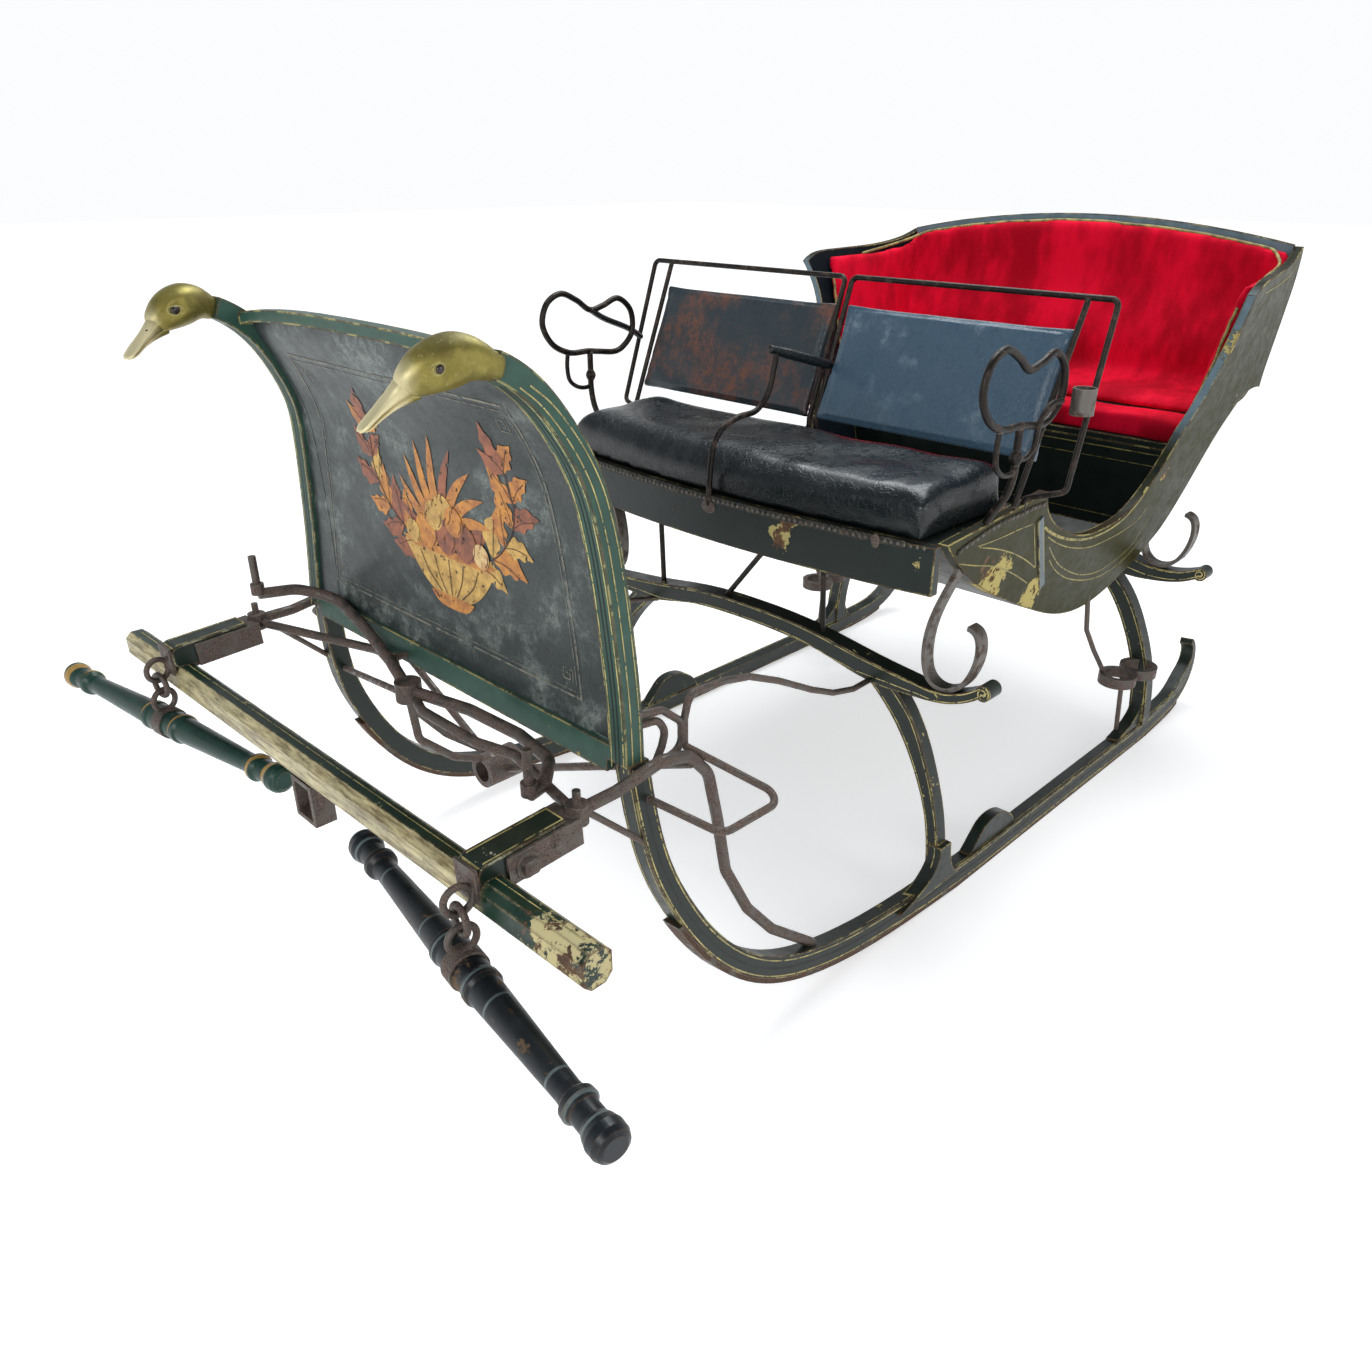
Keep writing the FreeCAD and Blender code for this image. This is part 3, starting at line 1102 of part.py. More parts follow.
def make_passenger_step(neighbours):
    """Two flat rings on a rod from the runner, with a stay up to the tub."""
    first = V(FIRST_RING_X, FIRST_RING_Y, RING_Z)
    second = V(SECOND_RING_X, SECOND_RING_Y, RING_Z)
    post = rod(V(FIRST_RING_X + STEP_RADIUS * 2, RING_POST_Y, SHOE_THICK + RUNNER_DEPTH / 2),
               V(FIRST_RING_X, FIRST_RING_Y + RING_INNER, RING_Z + RING_THICK / 2), STEP_RADIUS)
    stay_end = first + V(-RING_INNER, -RING_INNER / 2, RING_THICK)
    stay = bent_rod(between(RING_STAY_SHARES, V(RING_STAY_X, RING_STAY_Y, RING_STAY_Z), stay_end),
                    STEP_RADIUS, STEP_BEND)
    step = post.fuse(stay)
    for centre in (first, second):
        step = step.fuse(Part.makeCylinder(RING_OUTER, RING_THICK, centre))
    for centre in (first, second):
        step = step.cut(Part.makeCylinder(RING_INNER, RING_THICK, centre))
    return trimmed(step, neighbours)


def make_driver_step(neighbours):
    """Loop of rod outside the runner, with scrolls and a long brace to the front leg."""
    corner = V(STEP_X, STEP_FRONT_Y, STEP_LOW_Z)
    loop_end = V(STEP_X + STEP_REACH, STEP_BACK_Y, STEP_HIGH_Z)
    loop = bent_rod(between(STEP_LOOP_SHARES, corner, loop_end), STEP_RADIUS, STEP_BEND)
    brace = bent_rod(between(STEP_BRACE_SHARES, V(STEP_X, STEP_BACK_Y, STEP_HIGH_Z),
                             V(LEG_END_X, FRONT_BOLSTER_Y, LEG_END_Z)), STEP_RADIUS, STEP_BEND)
    step = loop.fuse(brace)
    c_start = V(STEP_X, STEP_FRONT_Y, STEP_HIGH_Z)
    c_end = V(STEP_X, STEP_BACK_Y - STEP_RADIUS, STEP_HIGH_Z + C_HEIGHT)
    for shares in (OUTER_C_SHARES, INNER_C_SHARES):
        step = step.fuse(bent_rod(between(shares, c_start, c_end), STEP_RADIUS, STEP_BEND))
    return trimmed(step, neighbours)


def make_seat_stays(neighbours):
    """Rods from the front bolster up to the driver's seat."""
    low = FRONT_CROWN_Z - BOLSTER_DEPTH
    high = BOARD_TOP_Z - BOARD_THICK * 2
    y = FRONT_BOLSTER_Y
    ends = [(LEFT_STAY_X, LEFT_STAY_X - STAY_LEAN), (RIGHT_STAY_X, RIGHT_STAY_X - STAY_LEAN),
            (CROSS_STAY_LOW_X, CROSS_STAY_HIGH_X)]
    stays = [rod(V(start, y, low), V(end, y, high), SEAT_STAY_RADIUS) for start, end in ends]
    return Part.makeCompound([trimmed(stay, neighbours) for stay in stays])


def make_lining(back, inner):
    """Padded velvet linings of the tub's back and of both wings."""
    low = REAR_SEAT_Z + REAR_BOARD_THICK + REAR_CUSHION_THICK + LINING_GAP
    above = box(-FAR, FAR, REAR_SEAT_FRONT_Y, TUB_BACK_Y + OVERRUN, low, FAR)
    space = flare(SIDE_THICK + LINING_GAP).common(above)
    whole_back = TUB_UNDER_SHARES + TUB_BACK_SHARES[1:]
    pad = tub_strip(whole_back, BACK_THICK + LINING_THICK, inner)
    crown = crown_cut()
    crown.translate(V(0, 0, -LINING_MARGIN))
    back_pad = trimmed(pad.common(space).common(crown), [back])
    wings = side_outline(0, FAR / 2)
    wings.translate(V(0, 0, -LINING_MARGIN))
    wing = trimmed(wings.common(space), [flare(SIDE_THICK + LINING_THICK), pad, back])
    return Part.makeCompound([back_pad, wing, mirrored(wing)])


def build_frame():
    """Runners, dash, bolsters, legs and the draft gear; returns what the seats stand on."""
    runner = make_runner()
    both_sides(runner, "runner")
    both_sides(make_shoe(), "shoe")
    frame = make_dash_frame(runner)
    save(frame, "dash_frame")
    save(make_dash_panel(frame), "dash_panel")
    both_sides(make_duck_head(frame), "duck_head")

    front = make_bolster(FRONT_BOLSTER_Y, FRONT_BOLSTER_HALF, FRONT_CROWN_Z, FRONT_TOP_SHARES,
                         FRONT_BEAM_SHARES)
    rear = make_bolster(REAR_BOLSTER_Y, REAR_BOLSTER_HALF, REAR_CROWN_Z, REAR_TOP_SHARES,
                        REAR_BEAM_SHARES)
    front_leg = make_leg(FRONT_BOLSTER_Y, FRONT_LEG_HALF, FRONT_LEG_WIDTH, FRONT_LEG_SHARES, front,
                         runner)
    both_sides(Part.makeCompound([front_leg, make_cover(runner)]), "front_leg")
    rear_leg = make_leg(REAR_BOLSTER_Y, REAR_LEG_HALF, REAR_LEG_WIDTH, REAR_LEG_SHARES, rear, runner)
    both_sides(rear_leg, "rear_leg")

    crossbar = make_crossbar()
    save(crossbar, "crossbar")
    save(trimmed(make_pole_loop(), [crossbar]), "pole_loop")
    block = make_block()
    save(block.cut(crossbar), "draft_block_left")
    save(mirrored(block).cut(crossbar), "draft_block_right")
    eye = make_nose_eye([block])
    save(trimmed(eye, [crossbar]), "nose_eye_left")
    save(trimmed(mirrored(eye), [crossbar]), "nose_eye_right")
    draft = make_draft_iron(block, [runner, frame])
    save(trimmed(draft, [crossbar]), "draft_iron_left")
    save(trimmed(mirrored(draft), [crossbar]), "draft_iron_right")
    hooks = make_hook_bar([draft, mirrored(draft), frame, runner, mirrored(runner)])
    save(hooks, "hook_bar")
    socket = make_pole_socket(hooks)
    save(socket, "pole_socket")
    save(make_socket_stays([socket, draft, runner]), "pole_socket_stays")
    both_sides(make_link(), "link")
    bar = placed_singletree(make_singletree())
    both_sides(bar, "singletree")
    both_sides(placed_singletree(make_clip()).cut(bar), "singletree_clip")
    both_sides(make_driver_step([runner, frame, draft, front_leg, front]), "driver_step")
    return front, rear, runner, rear_leg


def build_body(front, rear, runner, rear_leg):
    """Tub, seats, backrests, armrests, linings and the irons under the body."""
    inner = flare(SIDE_THICK)
    side = make_tub_side(flare(0), inner)
    both_sides(side, "tub_side")
    back = tub_strip(TUB_UNDER_SHARES + TUB_BACK_SHARES[1:], BACK_THICK, inner).common(crown_cut())
    save(back, "tub_back")
    deck_low = BOARD_TOP_Z - DECK_THICK
    floor = tub_strip(TUB_BOTTOM_SHARES, FLOOR_THICK, inner)
    floor = trimmed(floor.common(box(-FAR, FAR, -FAR, FAR, 0, deck_low)), [back])
    save(floor, "tub_floor")
    bulkhead = box(-FAR, FAR, BULKHEAD_Y, BULKHEAD_Y + BULKHEAD_THICK, TUB_FLOOR_Z, BOARD_TOP_Z)
    bulkhead = bulkhead.common(inner).cut(floor)
    bulkhead = max(bulkhead.Solids, key=lambda solid: solid.CenterOfMass.z)
    save(bulkhead, "tub_bulkhead")

    board = trimmed(make_front_board(), [side, mirrored(side), floor])
    save(board, "seat_front_board")
    deck = bowed_plan(BOARD_END_Y + BOARD_THICK, BOARD_BOW, BOARD_HALF, BULKHEAD_Y, deck_low,
                      BOARD_TOP_Z)
    deck = trimmed(deck.common(inner), [board, floor])
    save(deck, "seat_deck")
    cushion = make_cushion()
    save(cushion, "driver_cushion")
    save(front, "front_bolster")
    save(trimmed(rear, [floor, back]), "rear_bolster")
    sides = [side, floor, back]
    both_sides(make_body_iron(FRONT_BOLSTER_Y, IRON_RISE_FRONT, [front] + sides), "front_body_iron")
    both_sides(make_body_iron(REAR_BOLSTER_Y, IRON_RISE_REAR, [rear] + sides), "rear_body_iron")
    save(make_seat_stays([front, board, deck, floor, side]), "seat_stays")
    both_sides(make_passenger_step([runner, side, floor, rear_leg]), "passenger_step")

    rail = make_rail([deck, board, bulkhead, side])
    both_sides(rail, "seat_rail")
    rest = make_backrest(rail)
    both_sides(rest, "backrest")
    whip = make_whip_socket(rail)
    save(whip, "whip_socket")
    whip_solid = Part.makeCylinder(WHIP_RADIUS, WHIP_HEIGHT, whip_base())
    carriers = [side, board, rail, rest, cushion]
    left = make_left_arm(whip_axis_y(), carriers + [whip_solid, whip])
    save(left, "arm_loop_left")
    save(make_right_arm([mirrored(other) for other in carriers]), "arm_loop_right")
    centre = [board, rail, mirrored(rail), rest, mirrored(rest), cushion]
    save(make_centre_arm(centre), "centre_arm")

    seat_top = REAR_SEAT_Z + REAR_BOARD_THICK
    outline = side_outline(-FAR / 2, FAR / 2)
    seat = box(-FAR, FAR, REAR_SEAT_FRONT_Y, TUB_BACK_Y, REAR_SEAT_Z, seat_top)
    save(trimmed(seat.common(inner).common(outline), [back]), "rear_seat_board")
    riser = box(-FAR, FAR, REAR_SEAT_FRONT_Y, REAR_SEAT_FRONT_Y + RISER_THICK, TUB_FLOOR_Z, REAR_SEAT_Z)
    save(trimmed(riser.common(inner), [floor, back]), "rear_seat_riser")
    cushion = box(-FAR, FAR, REAR_SEAT_FRONT_Y, TUB_BACK_Y, seat_top + LINING_GAP,
                  seat_top + REAR_CUSHION_THICK)
    cushion = cushion.common(flare(SIDE_THICK + LINING_GAP)).common(outline)
    save(trimmed(cushion, [back]), "rear_cushion")
    save(make_lining(back, inner), "tub_lining")


build_body(*build_frame())
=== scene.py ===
# %% [markdown]
# # A horse-drawn sleigh
# The sleigh's wood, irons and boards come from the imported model, which stays as it is. This
# notebook paints them, lays on the trim, and makes the soft and carved pieces: the bird heads,
# the leather seat and the red velvet. All lengths are metres: +X is the sleigh's left, -Y ahead.

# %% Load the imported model
import math
import bpy
import bmesh
import numpy as np
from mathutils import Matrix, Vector
from mathutils.bvhtree import BVHTree


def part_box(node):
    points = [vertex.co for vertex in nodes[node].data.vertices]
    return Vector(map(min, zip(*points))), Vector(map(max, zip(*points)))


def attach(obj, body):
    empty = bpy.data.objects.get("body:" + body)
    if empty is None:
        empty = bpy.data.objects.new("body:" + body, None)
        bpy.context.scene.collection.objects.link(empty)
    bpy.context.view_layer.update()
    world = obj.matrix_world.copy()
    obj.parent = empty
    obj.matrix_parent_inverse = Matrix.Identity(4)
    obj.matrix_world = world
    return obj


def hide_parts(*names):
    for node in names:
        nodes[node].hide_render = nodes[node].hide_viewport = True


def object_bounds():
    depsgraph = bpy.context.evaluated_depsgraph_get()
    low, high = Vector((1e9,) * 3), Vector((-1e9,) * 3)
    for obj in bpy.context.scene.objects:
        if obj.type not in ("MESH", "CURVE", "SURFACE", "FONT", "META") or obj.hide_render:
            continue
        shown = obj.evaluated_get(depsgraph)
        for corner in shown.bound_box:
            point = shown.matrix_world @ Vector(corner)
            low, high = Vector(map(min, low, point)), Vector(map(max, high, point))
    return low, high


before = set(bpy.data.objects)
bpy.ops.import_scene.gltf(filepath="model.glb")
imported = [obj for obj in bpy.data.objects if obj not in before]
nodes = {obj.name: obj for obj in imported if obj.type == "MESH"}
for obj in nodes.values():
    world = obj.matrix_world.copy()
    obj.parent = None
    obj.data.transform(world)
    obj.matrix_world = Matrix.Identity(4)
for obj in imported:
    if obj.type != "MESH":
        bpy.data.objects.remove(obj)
cad_box = [list(corner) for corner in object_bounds()]
scene = bpy.context.scene
print(len(nodes), "nodes, box", cad_box)

# %% [markdown]
# ## Camera, floor and light
# The camera stands where the photographer's eyes are taken to have been: 1.4 m up, off the left
# front corner.
# A big pale floor and a nearly white sky act as the studio. Dark lacquer shows little colour of
# its own, so what it looks like is mostly what it mirrors: three broad soft lights give it that.

# %% Camera
LENS, SENSOR = 27.86, 36.0
camera = bpy.data.objects.new("camera", bpy.data.cameras.new("camera"))
scene.collection.objects.link(camera)
camera.location = (1.4228, -1.7360, 1.4000)
camera.rotation_euler = [math.radians(angle) for angle in (63.69, -0.06, 44.77)]
camera.data.sensor_width = SENSOR
camera.data.lens = LENS
camera.data.clip_end = 60.0
scene.camera = camera
scene.view_settings.view_transform = "Standard"


# %% Wires
def rgb(hexa):
    """Linear colour of a written sRGB colour such as 2a3b4c."""
    shares = np.array([int(hexa[i:i + 2], 16) for i in (0, 2, 4)]) / 255.0
    linear = np.where(shares <= 0.04045, shares / 12.92, ((shares + 0.055) / 1.055) ** 2.4)
    return (*[float(v) for v in linear], 1.0)


class Wire:
    """Output of a shader node: each +, - or * with it puts one Math node in its tree."""

    def __init__(self, tree, socket):
        self.tree, self.socket = tree, socket

    def __add__(self, other):
        return self.tree.maths("ADD", self, other)

    def __sub__(self, other):
        return self.tree.maths("SUBTRACT", self, other)

    def __rsub__(self, other):
        return self.tree.maths("SUBTRACT", other, self)

    def __mul__(self, other):
        return self.tree.maths("MULTIPLY", self, other)

    __radd__, __rmul__ = __add__, __mul__

    def step(self, low, high, start=0.0, end=1.0):
        """Value mapped smoothly from low..high to start..end."""
        return self.tree.add("ShaderNodeMapRange", {0: self, 1: low, 2: high, 3: start, 4: end},
                             interpolation_type="SMOOTHSTEP")

    def mix(self, first, second):
        """Colour that goes from the first to the second as the wire goes from 0 to 1."""
        return self.tree.add("ShaderNodeMix", {0: self, 6: first, 7: second}, 2, data_type="RGBA")


# %% Trees
class Tree:
    """Shader tree that grows by short calls, most of which give a wire."""

    def __init__(self, tree):
        self.tree = tree

    def put(self, socket, value):
        """Link an input to a wire, or set its value; a text is a written colour."""
        if isinstance(value, Wire):
            self.tree.links.new(value.socket, socket)
            return
        value = rgb(value) if isinstance(value, str) else value
        socket.default_value = value[:3] if socket.type == "VECTOR" else value

    def add(self, kind, inputs=None, output=0, **settings):
        """Put one node in, with its settings and inputs; gives one of its outputs."""
        node = self.tree.nodes.new(kind)
        for key, value in settings.items():
            setattr(node, key, value)
        for key, value in (inputs or {}).items():
            self.put(node.inputs[key], value)
        return Wire(self, node.outputs[output])

    def maths(self, operation, first, second=0.0, clamp=False):
        """One Math node."""
        return self.add("ShaderNodeMath", {0: first, 1: second}, operation=operation,
                        use_clamp=clamp)

    def vector(self, operation, first, second=(0, 0, 0), output=0):
        """One Vector Math node."""
        return self.add("ShaderNodeVectorMath", {0: first, 1: second}, output,
                        operation=operation)

    def parts(self, vector):
        """X, Y and Z of a vector."""
        node = self.add("ShaderNodeSeparateXYZ", {0: vector}).socket.node
        return [Wire(self, socket) for socket in node.outputs]

    def noise(self, scale, detail=4.0, rough=0.55, at=None):
        """Noise value from 0 to 1, at the surface's own place unless another is given."""
        return self.add("ShaderNodeTexNoise", {"Vector": at or self.place, "Scale": scale,
                                               "Detail": detail, "Roughness": rough})

    def group(self, group, **inputs):
        """Put a node group in with its own values; gives its outputs by name."""
        node = self.tree.nodes.new("ShaderNodeGroup")
        node.node_tree = group.tree
        for key, value in inputs.items():
            self.put(node.inputs[key.replace("_", " ")], value)
        return {socket.name: Wire(self, socket) for socket in node.outputs}

    @property
    def place(self):
        """Position in metres."""
        return self.add("ShaderNodeTexCoord", output="Object")

    @property
    def normal(self):
        """Direction that the surface faces."""
        return self.add("ShaderNodeNewGeometry", output="Normal")


class Group(Tree):
    """Node group with named inputs, each with its usual value."""

    def __init__(self, name, **inputs):
        super().__init__(bpy.data.node_groups.new(name, "ShaderNodeTree"))
        for label, value in inputs.items():
            kind = "NodeSocketVector" if isinstance(value, tuple) else "NodeSocketFloat"
            self.tree.interface.new_socket(label.replace("_", " "), in_out="INPUT",
                                           socket_type=kind).default_value = value
        outputs = self.tree.nodes.new("NodeGroupInput").outputs
        self.given = [Wire(self, outputs[number]) for number in range(len(inputs))]

    def end(self, **outputs):
        """Name the group's outputs and link them."""
        for label in outputs:
            self.tree.interface.new_socket(label, in_out="OUTPUT", socket_type="NodeSocketFloat")
        node = self.tree.nodes.new("NodeGroupOutput")
        for label, wire in outputs.items():
            self.put(node.inputs[label], wire)


class Paint(Tree):
    """New material with a Principled shader."""

    def __init__(self, name):
        self.material = bpy.data.materials.new(name)
        self.material.use_nodes = True
        super().__init__(self.material.node_tree)

    def paint(self, **inputs):
        """Link or set the shader's inputs, spaces written as _; gives the material."""
        for key, value in inputs.items():
            self.put(self.tree.nodes["Principled BSDF"].inputs[key.replace("_", " ")], value)
        return self.material

    def bump(self, strength, distance, height):
        """Small relief; distance is the depth in metres of a height of 1."""
        self.paint(Normal=self.add("ShaderNodeBump", {"Strength": strength, "Distance": distance,
                                                      "Height": height}))


# %% Meshes and objects
def grid_mesh(name, points, closed_u=False, closed_v=False):
    """Mesh over a grid of points (rows, columns, 3): one quad between each four neighbours."""
    rows, columns = points.shape[:2]
    index = np.arange(rows * columns).reshape(rows, columns)
    if closed_u:
        index = np.vstack([index, index[:1]])
    if closed_v:
        index = np.hstack([index, index[:, :1]])
    quads = np.stack([index[:-1, :-1], index[:-1, 1:], index[1:, 1:], index[1:, :-1]], -1)
    mesh = bpy.data.meshes.new(name)
    mesh.from_pydata(points.reshape(-1, 3).tolist(), [], quads.reshape(-1, 4).tolist())
    mesh.update()
    return mesh


def stood(name, mesh, *paints, smooth=True):
    """Object of a mesh, at the origin, with its materials and smooth or flat faces."""
    thing = bpy.data.objects.new(name, mesh)
    scene.collection.objects.link(thing)
    for paint in paints:
        mesh.materials.append(paint)
    mesh.polygons.foreach_set("use_smooth", np.full(len(mesh.polygons), smooth))
    return thing


def piece(name, mesh, slot, *paints, smooth=True, hides=None):
    """Object that rides on the sleigh, hiding the node it stands for if one is given; slot is not
    used.
    """
    thing = stood(name, mesh, *paints, smooth=smooth)
    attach(thing, "sleigh")
    if hides:
        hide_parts(hides)
    return thing


# %% Floor and lights
FLOOR_HALF = 30
floor_z = cad_box[0][2]
square = np.array([[[x, y, floor_z] for x in (-FLOOR_HALF, FLOOR_HALF)]
                   for y in (-FLOOR_HALF, FLOOR_HALF)], float)
pale = Paint("pale floor")
away = pale.vector("LENGTH", pale.place, output="Value")
pale.paint(Base_Color=(0.86, 0.86, 0.86, 1), Roughness=0.9, Specular_IOR_Level=0.1,
           Emission_Color=(1, 1, 1, 1), Emission_Strength=away.step(1.2, 9.0, 0.50, 0.85))
floor = stood("floor", grid_mesh("floor", square), pale.material, smooth=False)

world = bpy.data.worlds.new("studio")
scene.world = world
world.use_nodes = True
sky = Tree(world.node_tree)
height = sky.parts(sky.add("ShaderNodeTexCoord", output="Generated"))[2]
sky.put(sky.tree.nodes["Background"].inputs["Color"],
        height.step(0.13, 0.55).mix((0.97, 0.98, 0.99, 1), (0.22, 0.24, 0.27, 1)))

for name, place, target, size, power, colour in (
        ("overhead", (-0.6, 1.2, 3.9), (0, 0.1, 0.6), (2.4, 2.4), 125, (0.94, 0.98, 1.0)),
        ("front", (1.2, -4.2, 2.6), (0, 0, 0.7), (2.4, 1.6), 62, (0.98, 0.99, 1.0)),
        ("left", (4.4, 0.6, 2.3), (0, 0, 0.6), (1.8, 1.8), 30, (1.0, 0.97, 0.92))):
    lamp = bpy.data.lights.new(name, "AREA")
    lamp.shape = "RECTANGLE"
    lamp.size, lamp.size_y = size
    lamp.energy, lamp.color = power, colour
    thing = bpy.data.objects.new(name, lamp)
    scene.collection.objects.link(thing)
    thing.location = place
    thing.rotation_euler = (Vector(target) - Vector(place)).to_track_quat("-Z", "Y").to_euler()

# %% [markdown]
# ## Effects that more than one finish uses
# Old paint tells its age in four ways: edges rubbed through, chips, grain that telegraphs
# through, and dust. Each is a node group, so that a finish is a few groups with its own values.
# Edge wear compares the true normal with one rounded over a few millimetres: they differ only
# near an edge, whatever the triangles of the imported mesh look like.

# %% Edge wear, chips, grain, rust and dust
wear_group = Group("edge wear", Reach=0.004, Patch_Scale=30.0, Amount=0.5)
reach, patch_scale, amount = wear_group.given
rounded = wear_group.add("ShaderNodeBevel", {"Radius": reach}, samples=5)
alike = wear_group.vector("DOT_PRODUCT", rounded, wear_group.normal, "Value")
patch = wear_group.noise(patch_scale, 7.0, 0.65)
worn = (patch - (0.78 - amount * 0.55)).step(-0.04, 0.06)
wear_group.end(Edge=alike.step(0.995, 0.86) * worn, Patch=patch)

chip_group = Group("paint chips", Scale=14.0, Amount=0.3, Edge=0.0)
scale, amount, edge = chip_group.given
both = chip_group.noise(scale, 3.0, 0.5) * 0.62 + chip_group.noise(scale * 6.0, 6.0, 0.7) * 0.38
over = both + edge * 0.30 - (0.80 - amount * 0.30)
chip_group.end(Chip=over.step(0.0, 0.012), Rim=over.step(-0.022, 0.0))

grain_group = Group("wood grain", Along=(1.0, 1.0, 1.0), Scale=60.0)
along, scale = grain_group.given
drawn = grain_group.vector("MULTIPLY", grain_group.place, along)
grain_group.end(Grain=grain_group.noise(scale, 8.0, 0.65, drawn))

rust_group = Group("rust", Scale=40.0, Amount=0.5)
scale, amount = rust_group.given
pit = rust_group.noise(scale * 9.0, 4.0, 0.7)
both = rust_group.noise(scale, 5.0, 0.6) * 0.75 + pit * 0.25
rust_group.end(Rust=(both - (0.72 - amount * 0.42)).step(-0.03, 0.07), Pit=pit)

dust_group = Group("dust", Amount=0.3)
upward = dust_group.parts(dust_group.normal)[2].step(-0.2, 1.0, 0.1, 0.8)
cloud = dust_group.noise(9.0, 6.0, 0.7).step(0.35, 0.75)
dust_group.end(Dust=upward * cloud * dust_group.given[0])

# %% [markdown]
# ## Painted wood
# The sleigh was painted many times. A dark green coat lies over a cream ground, and where that
# has gone too the brown wood shows. One function builds all these finishes: it takes the paint's
# colour, or a function that makes one, so that a node can be olive outside and blue-black inside.


# %% Painted finish
def painted(name, coat, chips, edges, chip_scale, dust=0.25, gloss=0.38, along=(1, 1, 1),
            ground="b3a468", worn=None, mirror=0.36):
    """Old paint over a cream ground over wood; coat is a colour or a function of the tree."""
    t = Paint(name)
    edge = t.group(wear_group, Reach=0.006, Amount=edges)
    touched = edge["Edge"] + (worn(t) if worn else 0.0)
    chip = t.group(chip_group, Scale=chip_scale, Amount=chips, Edge=touched)
    deep = t.group(chip_group, Scale=chip_scale * 1.3, Amount=chips * 0.75, Edge=touched * 0.78)
    grain = t.group(grain_group, Along=along)["Grain"]
    powder = t.group(dust_group, Amount=dust)["Dust"]
    base = coat(t) if callable(coat) else coat
    tinted = t.vector("MULTIPLY", base, edge["Patch"].step(0.25, 0.8, 0.78, 1.3))
    layers = grain.step(0.3, 0.7, 0.0, 0.35).mix(tinted, "0c100e")
    layers = powder.mix(layers, "6d7068")
    layers = chip["Rim"].step(0.0, 1.0, 0.0, 0.55).mix(layers, "1b1c16")
    layers = chip["Chip"].mix(layers, ground)
    layers = deep["Chip"].mix(layers, grain.step(0.35, 0.65).mix("6b4c31", "3a2a1c"))
    shine = edge["Patch"].step(0.2, 0.8, gloss - 0.07, gloss + 0.16)
    rough = t.maths("ADD", shine, chip["Chip"] * 0.35, clamp=True)
    t.bump(0.35, 0.0012, grain * 0.35 + chip["Chip"] * -0.8)
    return t.paint(Base_Color=layers, Specular_IOR_Level=mirror,
                   Roughness=t.maths("ADD", rough, powder * 0.5, clamp=True))


def tub_colours(t):
    """Olive where a face looks away from the middle, blue-black where it looks inwards."""
    place, normal = t.parts(t.place), t.parts(t.normal)
    side = (place[0] * normal[0]).step(-0.02, 0.02).mix("141d24", "373618")
    tips = normal[1].step(-0.35, -0.75) * place[2].step(0.80, 0.90)
    return tips.mix(side, "71858f")


def bar_colours(t):
    """Green bar with a rubbed cream face ahead, streaked brown along its length."""
    normal = t.parts(t.normal)
    streak = t.noise(150.0, 6.0, 0.65, t.vector("MULTIPLY", t.place, (0.12, 1, 1)))
    cream = streak.step(0.35, 0.62).mix("7d6c45", "c6ba8c")
    ahead = normal[1].step(-0.45, -0.62) * normal[2].step(-0.45, -0.3)
    return (ahead * t.parts(t.place)[0].step(0.50, 0.47)).mix("0d3023", cream)


def worn_at(*spots):
    """Extra wear: the sum over the spots of amount * (1 - distance / reach), smoothed."""
    def extra(t):
        return sum(t.vector("DISTANCE", t.place, spot, "Value").step(reach, 0.0, 0.0, amount)
                   for spot, reach, amount in spots)
    return extra


# %% Paints of the sleigh
finish = {
    "frame": painted("bottle green frame paint", "16221b", 0.50, 0.9, 18.0, 0.16, 0.34),
    "dash_frame": painted("greyed green dash paint", "2e5346", 0.46, 0.95, 18.0, 0.3, 0.36),
    "tub": painted("tub paint", tub_colours, 0.42, 0.8, 9.0, 0.05, 0.36, mirror=0.07,
                   worn=worn_at(((0.487, 0.05, 0.690), 0.13, 0.85),
                                ((0.467, 0.26, 0.595), 0.10, 0.7),
                                ((0.585, 0.81, 1.06), 0.12, 0.55),
                                ((0.50, 0.77, 0.75), 0.06, 0.9))),
    "floor": painted("floor board paint", "22241a", 0.15, 0.5, 9.0, 0.12, 0.35),
    "board": painted("board paint", "18231f", 0.50, 0.8, 12.0, 0.14, 0.3,
                     worn=worn_at(((0.19, -0.24, 0.755), 0.045, 1.0),
                                  ((0.215, -0.24, 0.797), 0.040, 1.0),
                                  ((0.467, -0.21, 0.772), 0.035, 0.7))),
    "crossbar": painted("crossbar paint", bar_colours, 0.50, 0.9, 30.0, 0.06, 0.28,
                        (0.15, 1, 1), "bfb384", worn_at(((0.66, -1.15, 0.56), 0.17, 0.75))),
    "block": painted("block paint", "10241a", 0.55, 0.95, 30.0, 0.12, 0.34, ground="c2bb9a"),
    "batten": painted("blue-grey batten paint", "4a5c63", 0.25, 0.7, 20.0, 0.1, 0.3),
}

# %% [markdown]
# ## Iron, brass and steel
# The irons were painted black and have rusted through unevenly: brown-grey with a dull sheen on
# the draft irons, nearly black on the seat irons. The shoes are bright only where they slide.


